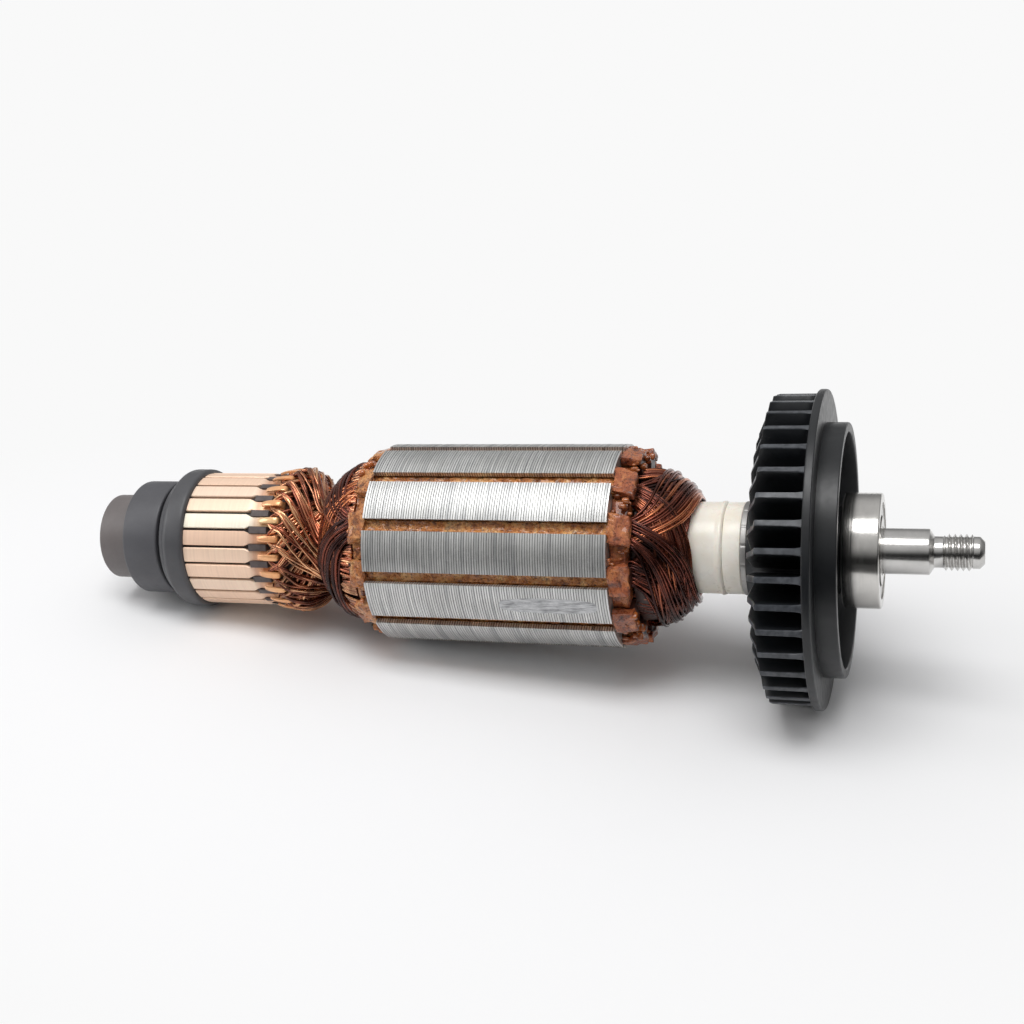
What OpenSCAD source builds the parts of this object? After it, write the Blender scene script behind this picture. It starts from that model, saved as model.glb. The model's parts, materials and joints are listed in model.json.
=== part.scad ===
// Motor armature of a small angle grinder, with its fan and both bearings.
// The shaft lies along X. The origin is the middle of the drive-end bearing,
// and the threaded end points to +X. Angles turn from the bottom of the shaft.

/* [Shaft] */
// Diameter of the shaft body that carries the core, the commutator and the fan
shaft_d = 10; // [8.4:0.1:11]
// Diameter of the seat for the pinion
pinion_seat_d = 7.5; // [6.4:0.1:7.9]
// Length of the seat for the pinion
pinion_seat_len = 7.4; // [4:0.1:20]
// Outer diameter of the pinion nut's thread
thread_d = 6; // [5.4:0.1:6.3]
// Length of the pinion nut's thread
thread_len = 4.7; // [3:0.1:12]
// Diameter of the relief between the pinion seat and the thread
relief_d = 5.1; // [4:0.1:5.3]
// Length of the relief between the pinion seat and the thread
relief_len = 1.4; // [0.8:0.1:3]
// Length of the plain tip past the thread
tip_len = 1.7; // [1:0.1:5]
// Width of the chamfers on the shaft
shaft_chamfer = 0.8; // [0.2:0.1:1]

/* [Bearings] */
// Outer diameter of both bearings
bearing_od = 19; // [18:0.1:22]
// Width of both bearings
bearing_w = 6; // [5.6:0.1:8]
// Bore of the drive-end bearing
drive_bore = 8; // [7.9:0.05:8.2]
// Bore of the commutator-end bearing
rear_bore = 7; // [6:0.1:8]
// Diameter of the bearing balls
ball_d = 3; // [2.4:0.1:3.2]
// Number of balls in each bearing
ball_count = 7; // [5:1:7]
// Wall of the rubber sleeve over the commutator-end bearing
sleeve_wall = 1; // [0.6:0.1:2.5]
// Width of the sleeve past each face of its bearing
sleeve_lip = 0.5; // [0.3:0.1:0.9]

/* [Lamination core] */
// Outer diameter of the lamination core
core_d = 35; // [33.5:0.5:42]
// Length of the lamination core
core_len = 42.5; // [20:0.5:90]
// Width of each slot's mouth
slot_mouth = 2.1; // [1.4:0.1:2.8]
// Width of each tooth below its tip
tooth_w = 3.8; // [3:0.1:4.4]
// Thickness of the tooth tips
tooth_tip = 1; // [0.7:0.1:1.3]
// Radial depth of each slot
slot_depth = 7; // [6:0.1:7.4]
// Thickness of the paper that lines the slots
liner_t = 0.3; // [0.2:0.05:0.4]
// Thickness of the wedge that closes each slot
wedge_t = 0.8; // [0.5:0.1:1.1]
// Width of the wedge's tab outside the core
wedge_tab_w = 5.4; // [4.8:0.1:6]
// Length of the wedge's tab at the commutator end
rear_tab_len = 3.3; // [2.6:0.1:6]
// Length of the wedge's tab at the drive end
drive_tab_len = 3.9; // [2.6:0.1:6]
// Thickness of the plate of each end insulator
insulator_t = 1.2; // [0.8:0.1:2]

/* [Windings] */
// Length of the coil head at the drive end, past the wedge tabs
drive_head_len = 10; // [8:0.1:14]
// Length of the coil head at the commutator end, past the wedge tabs
rear_head_len = 9.6; // [8:0.1:12]
// Width of one bundle of wires in a coil head
bundle_w = 4.8; // [3:0.1:6]
// Thickness of one bundle of wires in a coil head
bundle_t = 2.2; // [1.6:0.1:2.6]
// Depth of the grooves between the wires of a bundle
strand_groove = 0.35; // [0.2:0.05:0.5]
// Diameter of each lead to the commutator
lead_d = 0.85; // [0.6:0.05:0.9]
// Radius of the bulge that the leads make behind the hooks
lead_bulge_r = 13.2; // [12.9:0.1:14]
// Radius of the waist between the leads and the coil head
waist_r = 9.4; // [8.8:0.1:10.4]
// Length of the leads between the hooks and the waist
lead_len = 5.2; // [4.8:0.1:7]
// Length of each wedge tab that the drive-end coil head covers
tab_cover = 0.5; // [0:0.1:1]

/* [Commutator] */
// Diameter of the brush surface
commutator_d = 24.2; // [23.4:0.1:25]
// Length of the brush surface
brush_len = 13.1; // [8:0.1:24]
// Length of the narrow end of each bar, with its hook
riser_len = 6; // [5.4:0.1:8]
// Number of bars
bar_count = 24; // [24:1:24]
// Radial height of each bar
bar_h = 2.7; // [2:0.1:3.2]
// Width of the gap between the bars
bar_gap = 0.5; // [0.2:0.05:0.6]
// Depth of the undercut between the bars
undercut = 0.6; // [0.3:0.1:1]
// Width of the narrow end of each bar
riser_w = 1.9; // [1.5:0.1:2.2]
// Width of each hook
hook_w = 1.1; // [0.8:0.1:1.4]
// Length of each hook
hook_len = 4.1; // [3.2:0.1:4.6]
// Thickness of each hook
hook_t = 0.45; // [0.3:0.05:0.6]
// Length of the ridges between the narrow ends of the bars
ridge_len = 3.4; // [2:0.1:3.8]
// Outer diameter of the steel bush inside the moulding
bush_d = 13; // [12:0.1:14]
// Outer diameter of the dust collar
dust_collar_d = 25.6; // [24.4:0.1:28]
// Length of the dust collar
dust_collar_len = 5.7; // [2.5:0.1:8]
// Height of the dust collar's nose
collar_nose = 1.9; // [0.5:0.1:2.5]
// Diameter of the spacer between the dust collar and the bearing
spacer_d = 12; // [10.5:0.1:14]
// Length of the spacer between the dust collar and the bearing
spacer_len = 0.7; // [0.5:0.1:5]
// Outer diameter of the ring on the end of the shaft
magnet_d = 15.7; // [12:0.1:16.4]
// Length of the ring on the end of the shaft
magnet_len = 6.5; // [4:0.1:12]

/* [Insulating tube] */
// Outer diameter of the insulating tube beside the fan
tube_d = 15.5; // [14:0.1:16]
// Outer diameter of the insulating tube inside the core
tube_core_d = 13; // [12:0.1:13.4]
// Length of tube that shows past the coil head
tube_show = 3.7; // [2:0.1:12]
// Height of the bead on the end of the tube
tube_bead = 0.2; // [0.1:0.05:0.4]
// Length of the insulating collar between the tube and the washer
tube_collar_len = 3; // [2:0.1:8]
// Diameter of the notched washer
washer_d = 15.8; // [14:0.1:17]
// Thickness of the notched washer
washer_t = 1; // [0.6:0.1:2]

/* [Fan] */
// Diameter of the fan's disc
fan_d = 53; // [50:0.5:64]
// Thickness of the fan's disc
fan_disc_t = 1.35; // [1:0.05:2.5]
// Diameter over the blades
blade_d = 51.4; // [46:0.2:56]
// Number of blades
blade_count = 37; // [20:1:40]
// Thickness of each blade
blade_t = 1.1; // [0.6:0.05:1.3]
// Height of each blade at its outer end
blade_h = 6.7; // [4:0.1:9]
// Radius of the blades' inner ends
blade_root_r = 12.5; // [11.6:0.1:15]
// Extra height of each blade at its inner end
blade_slope = 2.6; // [1:0.1:5]
// Share of that extra height that the steep part of the front edge takes
blade_cut = 0.88; // [0.3:0.02:1]
// Radius at which the steep part of the front edge ends
blade_cut_r = 20.5; // [16:0.1:22]
// Angle that each blade leans over from its outer end to its inner end
blade_lean = 10; // [0:1:15]
// Diameter of the cup's wall
cup_d = 42.1; // [38:0.1:46]
// Thickness of the cup's wall
cup_wall = 1.6; // [1:0.1:3]
// Depth of the cup
cup_depth = 3.4; // [2:0.1:6]
// Length of the bearing that the cup covers
cup_cover = 0.6; // [0.3:0.1:2.5]
// Diameter of the fan's hub
hub_d = 18; // [17.2:0.1:22]
// Length of the hub past the inner ends of the blades
hub_reach = 1.7; // [0.1:0.1:3]
// Width of the flare between the hub and the disc
hub_flare = 3; // [1:0.1:3.2]

/* [Hidden] */
// gap between parts that are pressed or glued together
fit_gap = 0.02;
// gap between the balls, the rings and the cage
running_gap = 0.04;
// width of the small rounded edges
edge = 0.3;
eps = 0.01;
slot_count = 12;
slot_pitch = 360 / slot_count;
bar_pitch = 360 / bar_count;
// angles of the first slot, the first bar and the first blade, from the bottom of the shaft
slot_turn = 204;
bar_turn = 243.5;
blade_turn = 244;
// coils span this many slots
coil_span = 5;

// places along X, from the drive-end bearing towards the commutator
bearing_face = bearing_w / 2;
seat_end = bearing_face + pinion_seat_len;
relief_start = seat_end + shaft_chamfer;
thread_start = relief_start + relief_len;
thread_end = thread_start + thread_len;
shaft_tip = thread_end + tip_len;
cup_rim_x = -bearing_face + cup_cover;
disc_x = cup_rim_x - cup_depth;
disc_back_x = disc_x - fan_disc_t;
blade_edge_x = disc_back_x - blade_h;
hub_x = blade_edge_x - blade_slope - hub_reach;
washer_x = hub_x - fit_gap - washer_t;
tube_collar_x = washer_x - fit_gap - tube_collar_len;
tube_end_x = tube_collar_x - fit_gap;
drive_head_end_x = tube_end_x - tube_show;
drive_head_x = drive_head_end_x - drive_head_len;
core_end_x = drive_head_x - (drive_tab_len - tab_cover);
core_x = core_end_x - core_len;
rear_head_x = core_x - rear_tab_len;
waist_x = rear_head_x - rear_head_len;
bars_end_x = waist_x - lead_len;
riser_x = bars_end_x - riser_len;
bars_x = riser_x - brush_len;
dust_collar_x = bars_x - fit_gap - dust_collar_len;
spacer_x = dust_collar_x - fit_gap - spacer_len;
rear_bearing_x = spacer_x - fit_gap - sleeve_lip - bearing_w / 2;
sleeve_len = bearing_w + 2 * sleeve_lip;
sleeve_x = rear_bearing_x - sleeve_len / 2;
magnet_x = sleeve_x - fit_gap - magnet_len;
tube_start_x = bars_end_x + lead_len * 0.3;

// radii
shaft_r = shaft_d / 2;
bearing_r = bearing_od / 2;
core_r = core_d / 2;
tube_r = tube_d / 2;
tube_core_r = tube_core_d / 2;
bar_r = commutator_d / 2;
bar_root_r = bar_r - bar_h;
riser_r = bar_r - 0.4;
hook_r = riser_r + lead_d + 0.15 + hook_t;
lead_r = riser_r + 0.05 + lead_d / 2;
slot_top_r = core_r - tooth_tip;
slot_floor_r = core_r - slot_depth;
wedge_top_r = slot_top_r - fit_gap;
wedge_low_r = wedge_top_r - wedge_t;
tab_top_r = core_r - 0.5;
pack_top_r = wedge_low_r - fit_gap;

// half width of a slot at radius r, with teeth of even width
function slot_half(r) = r * sin(slot_pitch / 2) - tooth_w / 2 * cos(slot_pitch / 2);

function bar_name(i) = str("commutator_bar_", i < 10 ? "0" : "", i);

// stands a shape made along +Z on the X axis, starting at x
module along(x) translate([x, 0, 0]) rotate([0, 90, 0]) children();

// a ring along the shaft, with a small chamfer on its outer edges
module ring(x, len, r_in, r_out, bevel = 0) {
    along(x) rotate_extrude($fn = 96) polygon([
        [r_in, 0], [r_out - bevel, 0], [r_out, bevel],
        [r_out, len - bevel], [r_out - bevel, len], [r_in, len]]);
}

// ---------- shaft ----------
module shaft() {
    journal_r = rear_bore / 2 - fit_gap;
    drive_r = drive_bore / 2 - fit_gap;
    seat_r = pinion_seat_d / 2;
    tip_r = relief_d / 2 + 0.05;
    color("silver") difference() {
        along(0) rotate_extrude($fn = 96) polygon([
            [0, magnet_x], [journal_r - edge, magnet_x], [journal_r, magnet_x + edge],
            [journal_r, dust_collar_x], [shaft_r, dust_collar_x],
            [shaft_r, -bearing_face - fit_gap], [drive_r, -bearing_face - fit_gap],
            [drive_r, bearing_face - edge], [seat_r, bearing_face + eps],
            [seat_r, seat_end], [relief_d / 2, relief_start],
            [relief_d / 2, thread_start], [thread_d / 2, thread_start],
            [thread_d / 2, thread_end], [tip_r, thread_end],
            [tip_r, shaft_tip - shaft_chamfer], [tip_r - shaft_chamfer, shaft_tip],
            [0, shaft_tip]]);
        // centre holes left by turning
        along(magnet_x - eps) cylinder(h = 1.4, r1 = 1.3, r2 = 0.3, $fn = 32);
        along(shaft_tip - 1.1) cylinder(h = 1.1 + eps, r1 = 0.2, r2 = 1.1, $fn = 32);
    }
}

// ---------- lamination core ----------
// outline of one slot, pointing along +X
module slot_outline(top, floor, inset = 0) {
    floor_r = slot_half(floor + slot_half(floor)) - inset;
    polygon([[floor + floor_r, -floor_r], [top, -slot_half(top) + inset],
             [top, slot_half(top) - inset], [floor + floor_r, floor_r]]);
    translate([floor + floor_r + inset, 0]) circle(r = floor_r, $fn = 40);
}

module at_slots() {
    for (i = [0:slot_count - 1]) rotate(slot_turn + i * slot_pitch) children();
}

module lamination_outline(r, mouth) {
    difference() {
        circle(r = r, $fn = 180);
        circle(r = tube_core_r + fit_gap, $fn = 96);
        at_slots() {
            slot_outline(slot_top_r, slot_floor_r);
            translate([slot_top_r - eps, -mouth / 2]) square([r, mouth]);
        }
    }
}

module lamination_stack() {
    color("gainsboro") along(core_x) linear_extrude(core_len)
        lamination_outline(core_r, slot_mouth);
}

// paper channels that line the slots and stand out a little at both ends
module slot_liners() {
    reach = 1.9;
    color("tan") along(core_x - reach) linear_extrude(core_len + 2 * reach) at_slots()
        difference() {
            slot_outline(pack_top_r, slot_floor_r + fit_gap, fit_gap);
            slot_outline(pack_top_r + eps, slot_floor_r + liner_t, liner_t + fit_gap);
        }
}

// strips that close the slots, with a wider tab at each end
module slot_wedges() {
    w = 2 * (slot_half(wedge_low_r) - fit_gap);
    color("peru") along(0) at_slots() {
        translate([wedge_low_r, -w / 2, core_x - 1]) cube([wedge_t, w, core_len + 2]);
        translate([wedge_low_r, -wedge_tab_w / 2, core_x - rear_tab_len])
            cube([tab_top_r - wedge_low_r, wedge_tab_w, rear_tab_len - fit_gap]);
        translate([wedge_low_r, -wedge_tab_w / 2, core_end_x + fit_gap])
            cube([tab_top_r - wedge_low_r, wedge_tab_w, drive_tab_len - fit_gap]);
    }
}

// the straight sides of the coils, packed in the slots
module slot_coil_sides() {
    inset = liner_t + 2 * fit_gap;
    color("sienna") along(rear_head_x + fit_gap)
        linear_extrude(drive_head_x - rear_head_x - 2 * fit_gap) at_slots()
            slot_outline(pack_top_r - fit_gap, slot_floor_r + inset, inset);
}

// a fibre plate on the end of the core, with a block behind each tooth
module end_insulator(x, side, block_len) {
    block_gap = 0.6;
    block_w = tooth_w - 0.4;
    color("chocolate") translate([x, 0, 0]) rotate([0, side * 90, 0])
        union() {
            translate([0, 0, fit_gap]) linear_extrude(insulator_t) difference() {
                circle(r = wedge_low_r - fit_gap, $fn = 120);
                circle(r = (side > 0 ? tube_r : tube_core_r) + 2 * fit_gap, $fn = 96);
                mirror([side > 0 ? 0 : 1, 0]) at_slots()
                    slot_outline(core_r, slot_floor_r);
            }
            translate([0, 0, fit_gap]) linear_extrude(block_len) intersection() {
                difference() {
                    circle(r = wedge_low_r - block_gap, $fn = 120);
                    circle(r = slot_floor_r, $fn = 96);
                }
                mirror([side > 0 ? 0 : 1, 0])
                    for (i = [0:slot_count - 1])
                        rotate(slot_turn + (i + 0.5) * slot_pitch)
                            translate([0, -block_w / 2]) square([core_r, block_w]);
            }
        }
}

module commutator_end_insulator() end_insulator(core_x, -1, rear_tab_len - 0.3);
module drive_end_insulator() end_insulator(core_end_x, 1, drive_tab_len - 0.8);

// ---------- windings ----------
function lerp(a, b, t) = a + (b - a) * t;
function unit(v) = v / norm(v);

// wires seen side by side in each bundle
strands = 4;

// closed skin around the shaft. rings holds one list of points for each step of its outline
module skin(rings) {
    n = len(rings);
    m = len(rings[0]);
    faces = [for (i = [0:n - 1]) for (j = [0:m - 1])
        let (a = i * m + j, b = i * m + (j + 1) % m,
             c = (i + 1) % n * m + j, d = (i + 1) % n * m + (j + 1) % m)
        each [[a, c, b], [b, c, d]]];
    polyhedron([for (r = rings) each r], faces);
}

function ring_points(r, z, m, turn = 0) =
    [for (j = [0:m - 1]) [r * cos(turn + j * 360 / m), r * sin(turn + j * 360 / m), z]];

// sweeps a section along points, with its upright side away from the hub
module sweep(points, section, hub) {
    n = len(points);
    m = len(section);
    verts = [for (i = [0:n - 1])
        let (tangent = unit(points[min(i + 1, n - 1)] - points[max(i - 1, 0)]),
             side = unit(cross(tangent, points[i] - hub)),
             normal = cross(side, tangent))
        for (p = section) points[i] + side * p[0] + normal * p[1]];
    faces = concat(
        [[for (j = [m - 1:-1:0]) j]],
        [for (i = [0:n - 2]) for (j = [0:m - 1])
            let (a = i * m + j, b = i * m + (j + 1) % m) each [[a, b, a + m], [b, b + m, a + m]]],
        [[for (j = [0:m - 1]) (n - 1) * m + j]]);
    polyhedron(verts, faces);
}

// how far a point on a coil head stands above its base, by its angle and its height u from 0 to 1.
// Each slot sends one bundle forwards and one backwards around the shaft.
function bundle_rise(angle, u, r) =
    let (lean = coil_span * slot_pitch / 2 * pow(u, 1.5),
         forward = bundle_profile(angle - lean, r, 0.75),
         backward = bundle_profile(angle + lean, r, 1))
    max(forward, backward);

function bundle_profile(angle, r, share) =
    let (from_slot = (angle - slot_turn + 720 + slot_pitch / 2) % slot_pitch - slot_pitch / 2,
         across = 2 * from_slot * PI / 180 * r / bundle_w,
         strand = abs(cos(180 * across * strands / 2)))
    abs(across) < 1 ? share * bundle_t * sqrt(1 - across * across) * 0.5
        - strand_groove * (1 - strand) * 0.5 : 0;

// coil head: a quarter-ellipse dome from the slots down to the tube, covered with bundles
module coil_head(height, r_in, hole_r) {
    top = height - bundle_t / 2;
    r_out = pack_top_r - bundle_t / 2 - 0.4;
    steps = 14;
    columns = 168;
    skin(concat(
        [for (k = [0:steps])
            let (u = k / steps, a = 90 * u, r = r_in + (r_out - r_in) * cos(a), z = top * sin(a),
                 n = unit([top * cos(a), (r_out - r_in) * sin(a)]))
            [for (j = [0:columns - 1])
                let (angle = j * 360 / columns, h = bundle_rise(angle, u, r))
                [(r + n[0] * h) * cos(angle), (r + n[0] * h) * sin(angle), z + n[1] * h]]],
        [ring_points(hole_r, top, columns), ring_points(hole_r, 0, columns)]));
}

module drive_end_winding() {
    color("saddlebrown") along(drive_head_x)
        coil_head(drive_head_len, tube_r + bundle_t / 2, tube_r + 3 * fit_gap);
}

module commutator_end_winding() {
    color("saddlebrown") translate([rear_head_x, 0, 0]) rotate([0, -90, 0])
        mirror([1, 0, 0])
            coil_head(rear_head_len, waist_r - bundle_t / 2, tube_core_r + 3 * fit_gap);
}

// course of one lead past its hook: over the bulge and down to the waist, as [radius, angle, x]
lead_side = atan((hook_w / 2 + 0.35) / lead_r);
lead_top_r = lead_bulge_r - lead_d / 2;
lead_start = 0.3;
lead_route = [
    [lead_top_r, bar_pitch * 0.75, lead_start],
    [lead_top_r, bar_pitch, 0.9],
    [lead_top_r - 0.4, bar_pitch * 1.3, 1.6],
    [lerp(lead_top_r, waist_r, 0.3), bar_pitch * 1.8, 2.5],
    [lerp(lead_top_r, waist_r, 0.65), bar_pitch * 2.3, 3.4],
    [lerp(lead_top_r, waist_r, 0.95), bar_pitch * 2.8, 4.3],
    [waist_r - lead_d / 2, bar_pitch * 3.4, waist_x - bars_end_x - fit_gap]];

// the leads side by side over the bulge, and the end of each lead inside its hook
module commutator_leads() {
    per_lead = 6;
    columns = bar_count * per_lead;
    hole_r = tube_core_r + 3 * fit_gap;
    hex = [for (a = [0:60:300]) [cos(a), sin(a)] * lead_d / 2];
    low_r = lead_top_r - 0.3;
    color("sienna") along(bars_end_x) {
        skin(concat(
            [for (p = lead_route)
                [for (j = [0:columns - 1])
                    let (angle = bar_turn + p[1] + j * 360 / columns,
                         r = p[0] + lead_d / 2 * (2 * abs(cos(180 * j / per_lead)) - 1))
                    [r * cos(angle), r * sin(angle), p[2]]]],
            [ring_points(hole_r, waist_x - bars_end_x - fit_gap, columns, bar_turn),
             ring_points(hole_r, lead_start, columns, bar_turn)]));
        for (i = [0:bar_count - 1]) rotate(bar_turn + i * bar_pitch)
            sweep([for (p = [[lead_r, -lead_side, -hook_len / 2],
                             [lead_r, lead_side, -hook_len / 2],
                             [lead_r, bar_pitch / 2, -hook_len / 2 + 1],
                             [low_r, bar_pitch * 0.7, lead_start - 0.9],
                             [low_r, bar_pitch * 0.7, lead_start - fit_gap]])
                    [p[0] * cos(p[1]), p[0] * sin(p[1]), p[2]]], hex, [0, 0, -hook_len]);
    }
}

// ---------- commutator ----------
// a ring sector, centred on the angle a, with straight sides w apart
module bar_sector(r_in, r_out, w, len) {
    linear_extrude(len) intersection() {
        difference() {
            circle(r = r_out, $fn = 120);
            circle(r = r_in, $fn = 96);
        }
        polygon([[0, 0], [2 * r_out, -2 * r_out * tan(w / 2)],
                 [2 * r_out, 2 * r_out * tan(w / 2)]]);
    }
}

brush_w = bar_pitch - 2 * asin(bar_gap / 2 / bar_r);

module commutator_bar(i) {
    shade = [1, 0.80, 0.66] * (0.94 + 0.06 * sin(i * 137));
    color(shade) along(bars_x) rotate(bar_turn + (i - 1) * bar_pitch) {
        bar_sector(bar_root_r, bar_r, brush_w, brush_len);
        translate([0, 0, brush_len - eps]) linear_extrude(riser_len + eps)
            intersection() {
                difference() {
                    circle(r = riser_r, $fn = 120);
                    circle(r = bar_root_r, $fn = 96);
                }
                translate([0, -riser_w / 2]) square([core_r, riser_w]);
            }
        // the hook folds back over the lead
        translate([0, hook_w / 2, brush_len + riser_len]) rotate([90, 0, 0])
            linear_extrude(hook_w) polygon([
                [riser_r - 0.4, 0], [hook_r - 0.3, 0], [hook_r, -0.3],
                [hook_r, -hook_len + 0.3], [hook_r - hook_t, -hook_len],
                [hook_r - hook_t, -hook_t], [riser_r - 0.4, -hook_t]]);
    }
}

module commutator_moulding() {
    bush_r = bush_d / 2 + fit_gap;
    body_len = brush_len + riser_len;
    ridge_r = bar_r - 0.1;
    color("dimgray") along(bars_x) difference() {
        rotate_extrude($fn = 120) polygon([
            [bush_r, 0], [bar_r - undercut, 0], [bar_r - undercut, brush_len - 0.2],
            [ridge_r, brush_len], [ridge_r, brush_len + ridge_len],
            [riser_r - undercut, brush_len + ridge_len + edge],
            [riser_r - undercut, body_len],
            [bush_r, body_len]]);
        for (i = [0:bar_count - 1]) rotate(bar_turn + i * bar_pitch) {
            translate([0, 0, -eps])
                bar_sector(bar_root_r - fit_gap, bar_r + 1, brush_w + 0.1, brush_len + fit_gap);
            translate([0, 0, brush_len]) linear_extrude(riser_len + 1) difference() {
                translate([0, -riser_w / 2 - fit_gap]) square([core_r, riser_w + 2 * fit_gap]);
                circle(r = bar_root_r - fit_gap, $fn = 96);
            }
        }
    }
}

module commutator_bush() {
    color("slategray") ring(bars_x, brush_len + riser_len, shaft_r + fit_gap, bush_d / 2, edge);
}

module dust_collar() {
    color([0.16, 0.16, 0.17]) along(dust_collar_x) rotate_extrude($fn = 120) polygon([
        [shaft_r + fit_gap, 0], [dust_collar_d / 2 - collar_nose, 0],
        [dust_collar_d / 2 - collar_nose * 0.7, dust_collar_len * 0.2],
        [dust_collar_d / 2, dust_collar_len * 0.35],
        [dust_collar_d / 2, dust_collar_len - edge],
        [dust_collar_d / 2 - edge, dust_collar_len], [shaft_r + fit_gap, dust_collar_len]]);
}

module spacer_bush() {
    color([0.1, 0.1, 0.1]) ring(spacer_x, spacer_len, rear_bore / 2, spacer_d / 2);
}

module magnet_ring() {
    color([0.27, 0.25, 0.25])
        ring(magnet_x, magnet_len, rear_bore / 2, magnet_d / 2, 2 * edge);
}

// ---------- insulating tube ----------
module insulating_tube() {
    bead = 0.5;
    bore = shaft_r + fit_gap;
    wide_x = core_end_x + fit_gap;
    color("ivory") along(0) rotate_extrude($fn = 96) polygon([
        [bore, tube_start_x], [tube_core_r, tube_start_x], [tube_core_r, wide_x],
        [tube_r, wide_x], [tube_r, tube_end_x - bead], [tube_r + tube_bead, tube_end_x - bead / 2],
        [tube_r + tube_bead / 2, tube_end_x], [bore, tube_end_x]]);
}

module insulating_collar() {
    color("ivory") ring(tube_collar_x, tube_collar_len, shaft_r + fit_gap, tube_r);
}

module notched_washer() {
    notches = 12;
    notch_w = 0.6;
    notch_depth = 0.35;
    color("lightgray") along(washer_x) difference() {
        cylinder(h = washer_t, r = washer_d / 2, $fn = 96);
        translate([0, 0, -eps])
            cylinder(h = washer_t + 2 * eps, r = shaft_r + fit_gap, $fn = 96);
        for (i = [0:notches - 1]) rotate(i * 360 / notches)
            translate([washer_d / 2 - notch_depth, -notch_w / 2, -eps])
                cube([1, notch_w, washer_t + 2 * eps]);
    }
}

// ---------- fan ----------
module cooling_fan() {
    hub_r = hub_d / 2;
    blade_r = blade_d / 2;
    color([0.2, 0.21, 0.22]) along(0) difference() {
        union() {
            // hub, disc and cup
            rotate_extrude($fn = 180) polygon([
                [0, hub_x], [hub_r - edge, hub_x], [hub_r, hub_x + edge],
                [hub_r + hub_flare * 0.4, disc_back_x - hub_flare],
                [hub_r + hub_flare, disc_back_x],
                [fan_d / 2 - edge, disc_back_x], [fan_d / 2, disc_back_x + edge],
                [fan_d / 2, disc_x - edge], [fan_d / 2 - edge, disc_x],
                [cup_d / 2, disc_x], [cup_d / 2, cup_rim_x - edge],
                [cup_d / 2 - edge, cup_rim_x], [cup_d / 2 - cup_wall, cup_rim_x],
                [cup_d / 2 - cup_wall, disc_x], [bearing_r - 2.2, disc_x],
                [bearing_r - 2.2, -bearing_face - 0.3], [0, -bearing_face - 0.3]]);
            // blades, cut to their sloping front
            intersection() {
                rotate_extrude($fn = 180) polygon([
                    [hub_r, blade_edge_x - blade_slope],
                    [blade_root_r, blade_edge_x - blade_slope],
                    [blade_cut_r, blade_edge_x - blade_slope * blade_cut],
                    [blade_r, blade_edge_x], [blade_r, disc_x - fan_disc_t / 2],
                    [hub_r, disc_x - fan_disc_t / 2]]);
                translate([0, 0, hub_x]) linear_extrude(disc_x - hub_x)
                    for (i = [0:blade_count - 1])
                        rotate(blade_turn + i * 360 / blade_count) blade_outline(blade_r);
            }
        }
        translate([0, 0, hub_x - 1])
            cylinder(h = disc_x - hub_x + bearing_w, r = shaft_r + fit_gap, $fn = 96);
    }
}

// one blade seen along the shaft, leaning from its outer end to its inner end
module blade_outline(blade_r) {
    outer = [blade_r * cos(0), blade_r * sin(0)];
    inner = [blade_root_r * cos(blade_lean), blade_root_r * sin(blade_lean)];
    run = outer - inner;
    translate(inner) rotate(atan2(run[1], run[0]))
        translate([0, -blade_t / 2]) square([norm(run) + 1, blade_t]);
}

// ---------- bearings ----------
race_r = (bearing_od + drive_bore) / 4;
land_out_r = race_r + 1.2;
land_in_r = race_r - 1.2;

module outer_ring(x) {
    half = bearing_w / 2;
    seat = half - 0.5;
    seat_r = land_out_r + 0.5;
    color("lightsteelblue") along(x) rotate_extrude($fn = 120) difference() {
        polygon([[seat_r, -half], [bearing_r - edge, -half], [bearing_r, -half + edge],
                 [bearing_r, half - edge], [bearing_r - edge, half], [seat_r, half],
                 [seat_r, seat], [land_out_r, seat], [land_out_r, -seat], [seat_r, -seat]]);
        translate([race_r, 0]) circle(r = ball_d / 2 + running_gap, $fn = 48);
    }
}

module inner_ring(x, bore) {
    color("lightsteelblue") along(x) rotate_extrude($fn = 96) difference() {
        translate([bore / 2, -bearing_w / 2]) square([land_in_r - bore / 2, bearing_w]);
        translate([race_r, 0]) circle(r = ball_d / 2 + running_gap, $fn = 48);
    }
}

module at_balls() {
    for (i = [0:ball_count - 1]) rotate(i * 360 / ball_count) translate([race_r, 0, 0]) children();
}

module balls(x) color("white") along(x) at_balls() sphere(r = ball_d / 2, $fn = 48);

module cage(x) {
    half = ball_d / 2 + 0.4;
    color("goldenrod") along(x) difference() {
        rotate_extrude($fn = 96) translate([race_r - 0.4, -half]) square([0.8, 2 * half]);
        at_balls() rotate([0, 90, 0])
            cylinder(h = ball_d, r = ball_d / 2 + running_gap, center = true, $fn = 48);
    }
}

module shields(x) {
    color("silver") for (side = [-1, 1])
        ring(x + side * (bearing_w / 2 - 0.35) - 0.15, 0.3, land_in_r + 0.3,
             land_out_r + 0.5 - fit_gap);
}

module drive_bearing_outer_ring() outer_ring(0);
module drive_bearing_inner_ring() inner_ring(0, drive_bore);
module drive_bearing_cage() cage(0);
module drive_bearing_balls() balls(0);
module drive_bearing_shields() shields(0);
module rear_bearing_outer_ring() outer_ring(rear_bearing_x);
module rear_bearing_inner_ring() inner_ring(rear_bearing_x, rear_bore);
module rear_bearing_cage() cage(rear_bearing_x);
module rear_bearing_balls() balls(rear_bearing_x);
module rear_bearing_shields() shields(rear_bearing_x);

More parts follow.
